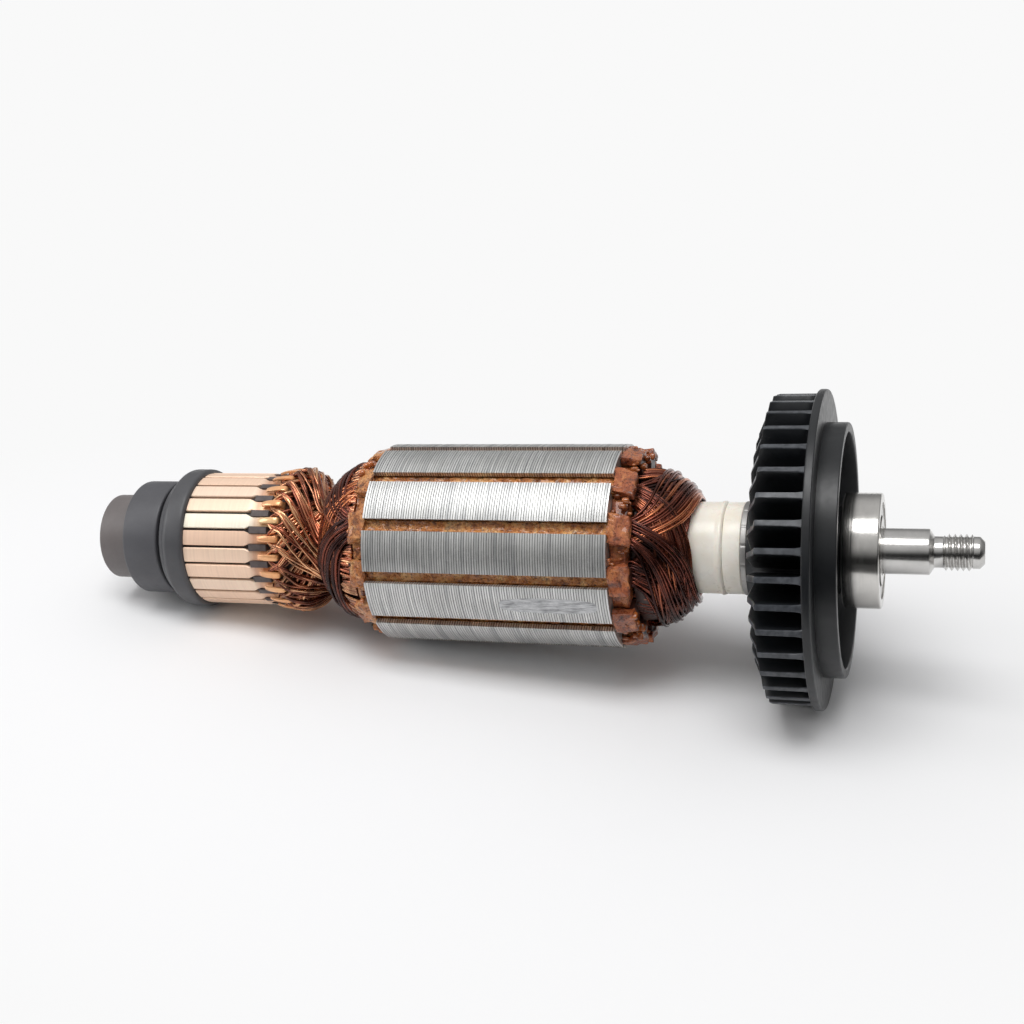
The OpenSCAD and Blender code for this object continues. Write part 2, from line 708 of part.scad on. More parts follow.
// rubber sleeve over the commutator-end bearing, with a lip on its outer face
module rubber_sleeve() {
    outer = bearing_r + sleeve_wall;
    lip_r = magnet_d / 2 + 0.3;
    color([0.18, 0.18, 0.19]) along(sleeve_x) rotate_extrude($fn = 120) polygon([
        [lip_r, 0], [outer - 2 * edge, 0], [outer, 2 * edge], [outer, sleeve_len - edge],
        [outer - edge, sleeve_len], [bearing_r + fit_gap, sleeve_len],
        [bearing_r + fit_gap, sleeve_lip - fit_gap], [lip_r, sleeve_lip - fit_gap]]);
}

shaft();
lamination_stack();
slot_liners();
slot_wedges();
slot_coil_sides();
commutator_end_insulator();
drive_end_insulator();
commutator_end_winding();
drive_end_winding();
commutator_leads();
commutator_moulding();
commutator_bush();
dust_collar();
spacer_bush();
magnet_ring();
insulating_tube();
insulating_collar();
notched_washer();
cooling_fan();
drive_bearing_outer_ring();
drive_bearing_inner_ring();
drive_bearing_cage();
drive_bearing_balls();
drive_bearing_shields();
rear_bearing_outer_ring();
rear_bearing_inner_ring();
rear_bearing_cage();
rear_bearing_balls();
rear_bearing_shields();
rubber_sleeve();
for (i = [1:bar_count])
    commutator_bar(i);
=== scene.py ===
import functools
import json
import math
import random
import bpy
import bmesh
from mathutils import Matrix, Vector, noise

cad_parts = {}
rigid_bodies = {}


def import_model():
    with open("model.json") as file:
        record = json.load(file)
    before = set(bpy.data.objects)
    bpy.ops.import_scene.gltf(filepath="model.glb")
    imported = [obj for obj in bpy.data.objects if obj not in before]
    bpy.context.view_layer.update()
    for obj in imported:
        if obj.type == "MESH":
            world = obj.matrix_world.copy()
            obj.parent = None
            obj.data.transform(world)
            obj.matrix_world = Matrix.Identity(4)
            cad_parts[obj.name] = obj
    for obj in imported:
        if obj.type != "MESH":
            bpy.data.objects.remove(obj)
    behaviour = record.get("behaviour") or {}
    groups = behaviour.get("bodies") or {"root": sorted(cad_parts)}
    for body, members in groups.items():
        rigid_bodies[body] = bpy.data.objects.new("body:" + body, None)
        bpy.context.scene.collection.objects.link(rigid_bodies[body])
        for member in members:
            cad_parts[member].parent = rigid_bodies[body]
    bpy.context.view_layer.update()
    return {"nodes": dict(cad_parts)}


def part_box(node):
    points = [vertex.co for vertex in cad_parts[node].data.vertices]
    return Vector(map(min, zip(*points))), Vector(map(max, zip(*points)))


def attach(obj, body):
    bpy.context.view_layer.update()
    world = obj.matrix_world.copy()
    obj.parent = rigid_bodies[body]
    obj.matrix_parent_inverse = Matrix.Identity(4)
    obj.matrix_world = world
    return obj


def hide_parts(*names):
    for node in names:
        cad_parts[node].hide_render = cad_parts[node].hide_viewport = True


for old in list(bpy.data.objects):
    bpy.data.objects.remove(old)
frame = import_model()
mm = 0.001
rotor = "rotor"
# noise vectors differ from run to run unless they are seeded
noise.seed_set(5)

# camera, floor and light, in mm
view = {"place": (19.9, -226.2, 115.0), "turn": (65.4, 6.84, 16.28), "lens": 53.14, "sensor": 36}
floorPlan = {"reach": 2000, "front": 90, "turn": 15.9, "tone": 0.86, "white": 0.947, "rimX": 11.9,
             "paperSink": 0.05, "tableSink": 1.0, "shadowShift": (64, 5), "shadowSize": (162, 115)}
lamps = {
    "top": {"at": (-60, -270, 1150), "size": (960, 520), "power": 8.2},
    "left": {"at": (-900, -300, 520), "size": (420, 520), "power": 2.5},
}
lampTarget = (-50, 0, 0)
sky = {"front": ((0.0, 0.03), (0.19, 0.03), (0.34, 0.30), (0.55, 0.75), (0.80, 0.95)),
       "back": ((0.0, 0.34), (0.35, 0.48), (0.62, 0.80), (0.80, 0.95)), "strength": 0.68}


def linked(name, data):
    obj = bpy.data.objects.new(name, data)
    bpy.context.scene.collection.objects.link(obj)
    return obj


def placeCamera():
    data = bpy.data.cameras.new("camera")
    data.lens = view["lens"]
    data.sensor_width = view["sensor"]
    data.clip_start = 0.01
    cam = linked("camera", data)
    cam.location = [v * mm for v in view["place"]]
    cam.rotation_euler = [math.radians(v) for v in view["turn"]]
    bpy.context.scene.camera = cam


placeCamera()
print("camera placed")

# helpers


def srgb(r, g, b, a=1.0):
    def lin(v):
        v = v / 255
        return v / 12.92 if v <= 0.04045 else ((v + 0.055) / 1.055) ** 2.4
    return (lin(r), lin(g), lin(b), a)


def newPiece(name, verts, faces, smooth=32):
    mesh = bpy.data.meshes.new(name)
    mesh.from_pydata(verts, [], faces)
    mesh.validate()
    bm = bmesh.new()
    bm.from_mesh(mesh)
    bmesh.ops.recalc_face_normals(bm, faces=bm.faces)
    bm.to_mesh(mesh)
    bm.free()
    shadeByAngle(mesh, smooth)
    return linked(name, mesh)


def shadeByAngle(mesh, angle):
    mesh.polygons.foreach_set("use_smooth", [True] * len(mesh.polygons))
    mesh.set_sharp_from_angle(angle=math.radians(angle))
    mesh.update()


def polar(x, r, turn):
    # angles turn from the bottom of the shaft, as on the part itself
    a = math.radians(turn)
    return Vector((x, r * math.sin(a), -r * math.cos(a)))


def turned(name, outline, steps=128, smooth=32):
    # outline is a closed loop of (x, radius), where a radius can be a list with one for each step.
    # A radius of 0 closes on the axis
    verts, rows, faces = [], [], []
    for x, r in outline:
        if r == 0:
            rows.append([len(verts)] * steps)
            verts.append(Vector((x, 0, 0)))
        else:
            rows.append(list(range(len(verts), len(verts) + steps)))
            radii = r if isinstance(r, list) else [r] * steps
            verts += [polar(x, radius, 360 * i / steps) for i, radius in enumerate(radii)]
    for one, two in zip(rows, rows[1:] + rows[:1]):
        for i in range(steps):
            j = (i + 1) % steps
            face = [one[i], two[i], two[j], one[j]]
            faces.append([v for n, v in enumerate(face) if v not in face[:n]])
    return newPiece(name, verts, [face for face in faces if len(face) > 2], smooth)


def rounded(points, size, steps=3):
    # rounds each corner marked with True in an outline of (x, r, round) points
    out = []
    n = len(points)
    for i, (x, r, soft) in enumerate(points):
        here = Vector((x, r))
        if not soft:
            out.append((x, r))
            continue
        before = Vector(points[i - 1][:2]) - here
        after = Vector(points[(i + 1) % n][:2]) - here
        cut = min(size, before.length * 0.45, after.length * 0.45)
        a = here + before.normalized() * cut
        b = here + after.normalized() * cut
        for k in range(steps + 1):
            t = k / steps
            p = a * (1 - t) ** 2 + here * 2 * t * (1 - t) + b * t * t
            out.append((p.x, p.y))
    return out


def gridFaces(rows, cols, base=0):
    # faces of a sheet of points, one row after the other, that starts at the point base
    wide = cols + 1
    return [[base + i * wide + j + k for k in (0, 1, wide + 1, wide)] for i in range(rows) for j in range(cols)]


def slabFaces(rows, cols):
    # two such sheets with their rims joined
    wide = cols + 1
    n = (rows + 1) * wide
    rims = [(i * wide + j, (i + 1) * wide + j) for i in range(rows) for j in (0, cols)]
    rims += [(i * wide + j, i * wide + j + 1) for j in range(cols) for i in (0, rows)]
    return gridFaces(rows, cols) + gridFaces(rows, cols, n) + [[p, q, n + q, n + p] for p, q in rims]


def tubeFaces(count, m):
    # joins loops of m points and closes both ends
    faces = [[r * m + i, r * m + (i + 1) % m, (r + 1) * m + (i + 1) % m, (r + 1) * m + i]
             for r in range(count - 1) for i in range(m)]
    return faces + [list(range(m))[::-1], [(count - 1) * m + i for i in range(m)]]


def joinPieces(name, parts):
    whole = parts[0]
    with bpy.context.temp_override(active_object=whole, object=whole, selected_objects=parts,
                                   selected_editable_objects=parts):
        bpy.ops.object.join()
    whole.name = whole.data.name = name
    return whole


def finishPiece(obj, body, nodes, material=None):
    # material is left out where the piece already has its own
    if material is not None:
        obj.data.materials.clear()
        obj.data.materials.append(material)
    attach(obj, body)
    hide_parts(*nodes)


@functools.cache
def span(node):
    # where a node starts and ends along the shaft, and its radius
    low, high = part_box(node)
    return low.x, high.x, max(high.y, high.z, -low.y, -low.z)


def ringOutline(node, bore, size, steps=3):
    # a plain ring of the node's length and radius, with its outer edges rounded
    low, high, r = span(node)
    return rounded([(low, bore * mm, False), (low, r, True), (high, r, True), (high, bore * mm, False)],
                   size * mm, steps)


# geometry node trees
def newTree(name, inputs):
    tree = bpy.data.node_groups.new(name, "GeometryNodeTree")
    tree.interface.new_socket("Geometry", in_out="INPUT", socket_type="NodeSocketGeometry")
    for label, kind in inputs:
        tree.interface.new_socket(label, in_out="INPUT", socket_type="NodeSocket" + kind)
    tree.interface.new_socket("Geometry", in_out="OUTPUT", socket_type="NodeSocketGeometry")
    return tree, tree.nodes.new("NodeGroupInput"), tree.nodes.new("NodeGroupOutput")


def feed(tree, socket, value):
    # a socket takes either a link or a plain value
    if isinstance(value, bpy.types.NodeSocket):
        tree.links.new(value, socket)
    else:
        socket.default_value = value


def addNode(tree, kind, settings=None, **links):
    node = tree.nodes.new(kind)
    for key, value in (settings or {}).items():
        setattr(node, key, value)
    for socket, source in links.items():
        feed(tree, node.inputs[socket.replace("_", " ")], source)
    return node


def maths(tree, kind, *values):
    node = addNode(tree, "ShaderNodeMath", {"operation": kind})
    for socket, value in zip(node.inputs, values):
        feed(tree, socket, value)
    return node.outputs[0]


def randomValue(tree, low, high, seed):
    node = addNode(tree, "FunctionNodeRandomValue", {"data_type": "FLOAT"}, Seed=seed)
    feed(tree, node.inputs[2], low)
    feed(tree, node.inputs[3], high)
    return node.outputs[1]


def endTree(tree, geometry, out, material):
    real = addNode(tree, "GeometryNodeRealizeInstances", Geometry=geometry)
    paint = addNode(tree, "GeometryNodeSetMaterial", Geometry=real.outputs[0], Material=material)
    tree.links.new(paint.outputs[0], out.inputs[0])


def growPiece(name, source, tree, values, smooth=32):
    # runs the tree on source and keeps the result as a plain mesh
    mod = source.modifiers.new("grow", "NODES")
    mod.node_group = tree
    for item in tree.interface.items_tree:
        if item.in_out == "INPUT" and item.name in values:
            mod[item.identifier] = values[item.name]
    bpy.context.view_layer.update()
    graph = bpy.context.evaluated_depsgraph_get()
    mesh = bpy.data.meshes.new_from_object(source.evaluated_get(graph))
    bpy.data.objects.remove(source)
    mesh.name = name
    shadeByAngle(mesh, smooth)
    return linked(name, mesh)


# materials
def ramp(tree, source, stops):
    # a stop is a colour or a shade of grey
    node = addNode(tree, "ShaderNodeValToRGB", Fac=source)
    line = node.color_ramp
    while len(line.elements) < len(stops):
        line.elements.new(0.5)
    for element, (pos, color) in zip(line.elements, stops):
        element.position = pos
        element.color = color if hasattr(color, "__len__") else (color, color, color, 1)
    return node.outputs[0]


def mixColor(tree, kind, amount, a, b):
    node = addNode(tree, "ShaderNodeMix", {"data_type": "RGBA", "blend_type": kind})
    for place, value in ((0, amount), (6, a), (7, b)):
        feed(tree, node.inputs[place], value)
    return node.outputs[2]


def nearby(color, less, more):
    # a darker and a lighter neighbour of a colour
    return [tuple(min(1, v * share) for v in color[:3]) + (1,) for share in (1 - less, 1 + more)]


class Look:
    # a material, with short names for the nodes that it needs
    def __init__(self, name, color, rough, metal=0.0, **extra):
        self.mat = bpy.data.materials.new(name)
        self.mat.use_nodes = True
        self.tree = self.mat.node_tree
        self.bsdf = self.tree.nodes["Principled BSDF"]
        self.put(Base_Color=color, Roughness=rough, Metallic=metal, **extra)

    def put(self, **values):
        for key, value in values.items():
            feed(self.tree, self.bsdf.inputs[key.replace("_", " ")], value)

    def grain(self, scale, detail=4, rough=0.55, distortion=0.0):
        # scale is one number, or one for each axis
        place = addNode(self.tree, "ShaderNodeTexCoord").outputs["Object"]
        if hasattr(scale, "__len__"):
            place, scale = addNode(self.tree, "ShaderNodeMapping", Vector=place, Scale=scale).outputs[0], 1.0
        return addNode(self.tree, "ShaderNodeTexNoise", Vector=place, Scale=scale, Detail=detail,
                       Roughness=rough, Distortion=distortion).outputs["Fac"]

    def ramp(self, source, *stops):
        return ramp(self.tree, source, stops)

    def attribute(self, name):
        return addNode(self.tree, "ShaderNodeAttribute", {"attribute_name": name}).outputs["Fac"]

    def multiply(self, amount, a, b):
        return mixColor(self.tree, "MULTIPLY", amount, a, b)

    def bump(self, height, strength, depth):
        self.put(Normal=addNode(self.tree, "ShaderNodeBump", Height=height, Strength=strength,
                                Distance=depth).outputs[0])

    def skin(self, height, low, high, strength, depth):
        # one grain gives both the gloss and the relief
        self.put(Roughness=self.ramp(height, (0.3, low), (0.7, high)))
        self.bump(height, strength, depth)


def laminationSteel():
    look = Look("laminationSteel", srgb(205, 206, 206), 0.38, 0.8)
    tone = look.ramp(look.grain((2000, 60, 60), 2), (0.28, srgb(176, 177, 178)), (0.52, srgb(216, 216, 215)),
                     (0.75, srgb(234, 234, 232)))
    stain = look.ramp(look.grain(130, 5, 0.6), (0.35, srgb(218, 218, 216)), (0.6, 1))
    look.put(Base_Color=look.multiply(0.55, tone, stain))
    look.skin(look.grain((900, 5200, 5200), 3), 0.33, 0.48, 0.25, 0.00003)
    return look.mat


def milledSteel():
    look = Look("milledSteel", srgb(206, 208, 210), 0.42, 0.45)
    streak = look.grain((420, 2600, 2600), 5, 0.7)
    look.put(Base_Color=look.ramp(streak, (0.36, srgb(140, 140, 142)), (0.5, srgb(186, 187, 189)),
                                  (0.7, srgb(222, 222, 222))))
    look.bump(streak, 0.5, 0.00006)
    return look.mat


def groovedDark():
    look = Look("sheetGaps", srgb(96, 95, 92), 0.6, 0.6)
    look.put(Base_Color=look.ramp(look.grain(900, 3), (0.3, srgb(70, 69, 67)), (0.7, srgb(128, 126, 122))))
    return look.mat


def fibre(name, dark, mid, light, glossy=0.45):
    look = Look(name, mid, glossy, 0.0, Coat_Weight=0.7, Coat_Roughness=0.07)
    small = look.grain(2300, 6, 0.7)
    tone = look.ramp(look.grain(330, 6, 0.7, 0.8), (0.34, dark), (0.50, mid), (0.64, light))
    spots = look.ramp(small, (0.38, srgb(120, 62, 34)), (0.50, 1))
    burnt = look.ramp(look.grain(700, 4, 0.6), (0.36, srgb(70, 30, 16)), (0.44, 1))
    look.put(Base_Color=look.multiply(0.6, look.multiply(0.6, tone, spots), burnt),
             Roughness=look.ramp(small, (0.35, 0.16), (0.65, 0.6)))
    look.bump(small, 1.0, 0.0004)
    return look.mat


def enamelWire(name, dark, mid, light, rough=0.3):
    # shade is a value per wire; the enamel darkens in patches where varnish pooled
    look = Look(name, mid, rough, 0.9, Coat_Weight=0.3, Coat_Roughness=0.1)
    tone = look.ramp(look.attribute("shade"), (0.0, dark), (0.5, mid), (1.0, light))
    patch = look.ramp(look.grain(210, 4, 0.6), (0.36, srgb(84, 62, 64)), (0.54, 1))
    look.put(Base_Color=look.multiply(0.75, tone, patch))
    look.skin(look.grain(2600, 3), rough - 0.06, rough + 0.10, 0.12, 0.00004)
    return look.mat


def alongBars(look):
    # 0 where the bars start and 1 where they end
    low, high, _ = span("commutator_bar_01")
    place = addNode(look.tree, "ShaderNodeTexCoord").outputs["Object"]
    x = addNode(look.tree, "ShaderNodeSeparateXYZ", Vector=place).outputs[0]
    return maths(look.tree, "DIVIDE", maths(look.tree, "SUBTRACT", x, low), high - low)


def commutatorCopper(name, tint):
    color = srgb(*tint)
    look = Look(name, color, 0.42, 0.3)
    along, scratch = alongBars(look), look.grain((2400, 90, 90))
    dark, light = nearby(color, 0.07, 0.05)
    tone = look.ramp(scratch, (0.3, dark), (0.55, color), (0.75, light))
    # duller, pinker band beside the hooks and bare glossy copper at the hooks
    band = look.ramp(along, (0.0, 1), (0.68, 1), (0.73, srgb(222, 200, 190)), (0.81, srgb(240, 205, 170)),
                     (1.0, srgb(250, 206, 156)))
    look.put(Base_Color=look.multiply(0.95, tone, band),
             Roughness=look.ramp(along, (0.0, 0.42), (0.68, 0.44), (0.74, 0.46), (0.84, 0.18)))
    look.bump(scratch, 0.12, 0.00002)
    return look.mat


def commutatorMoulding():
    # near black between the bars is painted shade for the narrow shaded gaps; dusty grey beside the hooks is the
    # moulding's own colour
    look = Look("moulding", srgb(74, 64, 62), 0.5)
    # painted shade: the part between the bars is near black
    tone = look.ramp(alongBars(look), (0.68, srgb(30, 22, 20)), (0.69, srgb(96, 86, 84)))
    dust = look.ramp(look.grain(700), (0.3, srgb(170, 160, 158)), (0.7, 1))
    look.put(Base_Color=look.multiply(0.7, tone, dust))
    look.bump(look.grain(1500, 3), 0.3, 0.00004)
    return look.mat


def plainPlastic(name, color, rough, grainSize=900, relief=0.12, spread=0.10):
    look = Look(name, color, rough)
    dark, light = nearby(color, spread, spread)
    look.put(Base_Color=look.ramp(look.grain(160, 4, 0.6), (0.3, dark), (0.7, light)))
    look.skin(look.grain(grainSize, 3), rough - 0.05, rough + 0.06, relief, 0.00004)
    return look.mat


def turnedSteel(name, color, rough, lines=0.05, spread=0.1):
    # fine turning marks run around the shaft
    look = Look(name, color, rough, 1.0)
    dark, light = nearby(color, spread, spread)
    look.put(Base_Color=look.ramp(look.grain(240), (0.3, dark), (0.7, light)))
    look.skin(look.grain((6000, 40, 40)), max(0.03, rough - 0.05), rough + 0.07, lines, 0.00002)
    return look.mat


def fanMoulding():
    # glass-filled black; the paler grey on the blades' free edges and outer ends is a painted highlight where light
    # catches those edges
    look = Look("fanPlastic", srgb(30, 32, 35), 0.34)
    plain = look.ramp(look.grain(160), (0.3, srgb(20, 22, 25)), (0.7, srgb(29, 31, 34)))
    # painted highlight: a paler grey on the marked edge faces
    highlightTone = look.ramp(look.grain(900), (0.35, srgb(50, 53, 58)), (0.65, srgb(80, 83, 88)))
    look.put(Base_Color=mixColor(look.tree, "MIX", look.attribute("paintedHighlight"), plain, highlightTone))
    look.skin(look.grain(700, 3), 0.30, 0.42, 0.15, 0.00004)
    return look.mat


def ivory():
    look = Look("ivory", srgb(240, 234, 220), 0.3, 0.0, Subsurface_Weight=0.08, Subsurface_Scale=0.001,
                Coat_Weight=0.25, Coat_Roughness=0.2)
    look.put(Base_Color=look.ramp(look.grain(190, 5, 0.6), (0.3, srgb(243, 234, 218)), (0.7, srgb(252, 247, 237))))
    look.skin(look.grain(700, 3), 0.24, 0.38, 0.12, 0.00005)
    return look.mat


def resin():
    look = Look("resin", srgb(150, 78, 34), 0.12, 0.0, Coat_Weight=0.8, Coat_Roughness=0.05)
    look.put(Base_Color=look.ramp(look.grain(420), (0.35, srgb(96, 42, 20)), (0.65, srgb(196, 112, 56))))
    look.bump(look.grain(1200), 0.3, 0.0001)
    return look.mat


steelSheets = laminationSteel()
steelMilled = milledSteel()
sheetGaps = groovedDark()
wedgeFibre = fibre("wedgeFibre", srgb(140, 72, 30), srgb(220, 140, 70), srgb(250, 194, 124))
paleFibre = fibre("paleFibre", srgb(146, 78, 34), srgb(206, 128, 66), srgb(230, 170, 108))
redFibre = fibre("redFibre", srgb(118, 52, 26), srgb(184, 98, 52), srgb(218, 138, 80), 0.4)
wireDark = enamelWire("wireDark", srgb(60, 28, 24), srgb(130, 66, 48), srgb(228, 140, 92), 0.22)
wireLead = enamelWire("wireLead", srgb(92, 44, 34), srgb(180, 104, 74), srgb(246, 188, 140), 0.2)
wireBed = plainPlastic("wireBed", srgb(58, 30, 22), 0.36, 1600, 0.5)
blackPlastic = plainPlastic("blackPlastic", srgb(76, 76, 79), 0.42)
# near-black spacer: painted shade, so that the gap beside the dust collar reads dark
spacerPaintedShade = plainPlastic("spacerPaintedShade", srgb(20, 20, 21), 0.6)
blackRubber = plainPlastic("blackRubber", srgb(80, 80, 84), 0.48, 1400, 0.15)
fanPlastic = fanMoulding()
magnetGrey = plainPlastic("magnetGrey", srgb(108, 102, 101), 0.46, 1800, 0.25)
moulding = commutatorMoulding()
bearingSteel = turnedSteel("bearingSteel", (0.60, 0.585, 0.56, 1), 0.17)
shaftSteel = turnedSteel("shaftSteel", (0.58, 0.57, 0.555, 1), 0.2, 0.03)
shieldSteel = turnedSteel("shieldSteel", (0.50, 0.49, 0.475, 1), 0.2)
washerSteel = turnedSteel("washerSteel", (0.40, 0.39, 0.38, 1), 0.5, 0.1)
bushSteel = turnedSteel("bushSteel", (0.4, 0.4, 0.4, 1), 0.3)
cageMetal = turnedSteel("cageMetal", (0.6, 0.48, 0.3, 1), 0.3)
paperTan = fibre("paperTan", srgb(120, 74, 40), srgb(170, 116, 66), srgb(200, 150, 96), 0.6)
ivoryPlastic = ivory()
resinAmber = resin()
print("materials made")

# lamination core
core = {"sheetPitch": 0.44, "sheetThick": 0.33, "gapDepth": 0.10, "toothSteps": 10, "slots": 12,
        "firstSlot": 204, "mouth": 2.1, "toothWidth": 3.8, "tip": 1.0, "slotDepth": 7.0,
        "bore": 6.52, "flatTooth": 279, "flatFrom": 23.8, "flatTo": 40.5, "flatDepth": 0.085,
        "flatSink": 0.012, "spread": 0.0016}
coreLeft, coreRight, coreR = span("lamination_stack")


def slotHalf(r):
    half = math.radians(180 / core["slots"])
    return r * math.sin(half) - core["toothWidth"] * mm / 2 * math.cos(half)


def slotTurn(i):
    return core["firstSlot"] + i * 360 / core["slots"]


def coreOutline(radius):
    # runs around the teeth and down into each slot
    pts = []
    pitch, mouth = 360 / core["slots"], core["mouth"] * mm / 2
    half = math.degrees(math.asin(mouth / radius))
    top, floorR = coreR - core["tip"] * mm, coreR - core["slotDepth"] * mm
    deep = floorR + slotHalf(floorR + slotHalf(floorR))
    low = slotHalf(deep)
    side = [(math.sqrt(radius ** 2 - mouth ** 2), mouth), (top, mouth), (top, slotHalf(top)), (deep, low)]
    slot = [(x, -y) for x, y in side]
    slot += [(deep - low * math.sin(k * math.pi / 4), -low * math.cos(k * math.pi / 4)) for k in (1, 2, 3)]
    slot += side[::-1]
    for i in range(core["slots"]):
        turn = slotTurn(i)
        c, s = math.cos(math.radians(turn)), math.sin(math.radians(turn))
        pts += [(x * c - y * s, x * s + y * c) for x, y in slot]
        for k in range(1, core["toothSteps"]):
            a = math.radians(turn + half + (pitch - 2 * half) * k / core["toothSteps"])
            pts.append((radius * math.cos(a), radius * math.sin(a)))
    return pts


def outlineCurve(name, loops):
    data = bpy.data.curves.new(name, "CURVE")
    data.dimensions = "2D"
    for loop in loops:
        line = data.splines.new("POLY")
        line.points.add(len(loop) - 1)
        for point, (x, y) in zip(line.points, loop):
            point.co = (x, y, 0, 1)
        line.use_cyclic_u = True
    return linked(name, data)


def stackTree(material):
    # fills the outline, gives it a thickness and stacks copies of it along the shaft
    tree, given, out = newTree("sheetStack", [("Count", "Int"), ("Pitch", "Float"), ("Thickness", "Float"),
                                              ("Start", "Vector"), ("Spread", "Float"), ("Seed", "Int")])
    take = given.outputs
    face = addNode(tree, "GeometryNodeFillCurve", Curve=take["Geometry"])
    raised = addNode(tree, "GeometryNodeExtrudeMesh", Mesh=face.outputs[0], Offset_Scale=take["Thickness"],
                     Individual=False)
    under = addNode(tree, "GeometryNodeFlipFaces", Mesh=face.outputs[0])
    both = tree.nodes.new("GeometryNodeJoinGeometry")
    tree.links.new(raised.outputs["Mesh"], both.inputs[0])
    tree.links.new(under.outputs[0], both.inputs[0])
    welded = addNode(tree, "GeometryNodeMergeByDistance", Geometry=both.outputs[0], Distance=1e-6)
    step = addNode(tree, "ShaderNodeCombineXYZ", X=take["Pitch"])
    row = addNode(tree, "GeometryNodeMeshLine", Count=take["Count"], Start_Location=take["Start"],
                  Offset=step.outputs[0])
    size = randomValue(tree, maths(tree, "SUBTRACT", 1.0, take["Spread"]), 1.0, take["Seed"])
    scale = addNode(tree, "ShaderNodeCombineXYZ", X=size, Y=size, Z=1.0)
    copies = addNode(tree, "GeometryNodeInstanceOnPoints", Points=row.outputs[0], Instance=welded.outputs[0],
                     Rotation=(0, math.pi / 2, 0), Scale=scale.outputs[0])
    endTree(tree, copies.outputs[0], out, material)
    return tree


def flatDepth(x):
    # depth of the balance cut at x, 0 outside it
    mid = (core["flatFrom"] + core["flatTo"]) / 2 * mm + coreLeft
    off = abs(x - mid) / ((core["flatTo"] - core["flatFrom"]) / 2 * mm)
    return 0 if off >= 1 else core["flatDepth"] * mm * (1 - off ** 2) ** 0.5


def milledFlat(obj):
    # a shallow cut takes the balance weight off one tooth
    out = polar(0, 1, core["flatTooth"])
    for v in obj.data.vertices:
        depth = flatDepth(v.co.x)
        over = v.co.dot(out) - (coreR - depth - core["flatSink"] * mm)
        if depth and over > 0:
            v.co -= out * over


def milledPatch():
    # the bright cut surface, where the sheets are smeared together
    out, side = polar(0, 1, core["flatTooth"]), polar(0, 1, core["flatTooth"] + 90)
    verts, steps, across = [], 90, 10
    low, high = coreLeft + core["flatFrom"] * mm, coreLeft + core["flatTo"] * mm
    for i in range(steps + 1):
        x = low + (high - low) * (0.5 - 0.4999 * math.cos(math.pi * i / steps))
        level = coreR - flatDepth(x)
        half = math.sqrt(max(0, coreR ** 2 - level ** 2))
        for j in range(across + 1):
            y = half * (2 * j / across - 1) * (0.9 + 0.1 * noise.noise(Vector((x * 900, j, 0))))
            rise = 0.006 * noise.noise(Vector((x * 500, y * 3000, 4)))
            verts.append(out * (level + (rise - 0.005) * mm) + side * y + Vector((x, 0, 0)))
    patch = newPiece("milled_patch", verts, gridFaces(steps, across), 40)
    patch.data.materials.append(steelMilled)
    if patch.data.polygons[len(patch.data.polygons) // 2].normal.dot(out) < 0:
        patch.data.flip_normals()
    return patch


def buildCore():
    bore = [(core["bore"] * mm * math.cos(math.radians(a)), core["bore"] * mm * math.sin(math.radians(a)))
            for a in range(0, 360, 9)]
    length, pitch, thick = coreRight - coreLeft, core["sheetPitch"] * mm, core["sheetThick"] * mm
    count = int(round((length - thick) / pitch)) + 1
    start = coreLeft + (length - thick - (count - 1) * pitch) / 2
    # a slightly smaller dark block shows between the bright sheets
    inside = coreOutline(coreR - core["gapDepth"] * mm)
    sheets = growPiece("core_sheets", outlineCurve("sheet", [coreOutline(coreR), bore]), stackTree(steelSheets),
                       {"Count": count, "Pitch": pitch, "Thickness": thick, "Start": (start, 0, 0),
                        "Spread": core["spread"], "Seed": 7}, 20)
    packed = growPiece("core_gaps", outlineCurve("packing", [inside, bore]), stackTree(sheetGaps),
                       {"Count": 1, "Pitch": pitch, "Thickness": length - 2 * thick,
                        "Start": (coreLeft + thick, 0, 0), "Spread": 0.0, "Seed": 1}, 20)
    milledFlat(sheets)
    milledFlat(packed)
    both = joinPieces("lamination_core", [sheets, packed, milledPatch()])
    finishPiece(both, rotor, ["lamination_stack"])


buildCore()
print("core stacked")

# windings
winding = {"wireR": 0.27, "wires": 22, "span": 150, "slotWidth": 4.8, "points": 34, "layerStep": 0.22,
           "bedDepth": 1.7, "lowRise": 22, "highRise": 85, "roundness": 1.6, "stray": 2.5, "drift": 3.0,
           "bow": 0.085, "endRun": 2.2, "crown": 0.6, "sink": (0, 0, 0.25, 0.5), "settle": (-0.06, 0.10),
           "shade": (0.12, 0.78), "shadeStray": 0.28, "sides": 7,
           "order": [9, 11, 6, 3, 1, 4, 7, 8, 10, 5, 2, 0]}
driveHead = {"node": "drive_end_winding", "side": 1, "outer": 14.35, "inner": 8.35, "bore": 7.8, "seed": 11}
commutatorHead = {"node": "commutator_end_winding", "side": -1, "outer": 15.1, "inner": 8.7, "bore": 6.6,
                  "seed": 23}
leads = {"wireR": 0.27, "bulge": 12.9, "seed": 41, "turn": 62, "perWay": 5, "sway": (-24, 14),
         "lift": (-0.45, 0.25), "stray": 0.17, "shade": (0.1, 1.0)}


def wireTree(material):
    tree, given, out = newTree("wireTubes", [("Radius", "Float"), ("Sides", "Int")])
    line = addNode(tree, "GeometryNodeMeshToCurve", Mesh=given.outputs["Geometry"])
    ring = addNode(tree, "GeometryNodeCurvePrimitiveCircle", Resolution=given.outputs["Sides"],
                   Radius=given.outputs["Radius"])
    tube = addNode(tree, "GeometryNodeCurveToMesh", Curve=line.outputs[0], Profile_Curve=ring.outputs["Curve"],
                   Fill_Caps=True)
    endTree(tree, tube.outputs[0], out, material)
    return tree


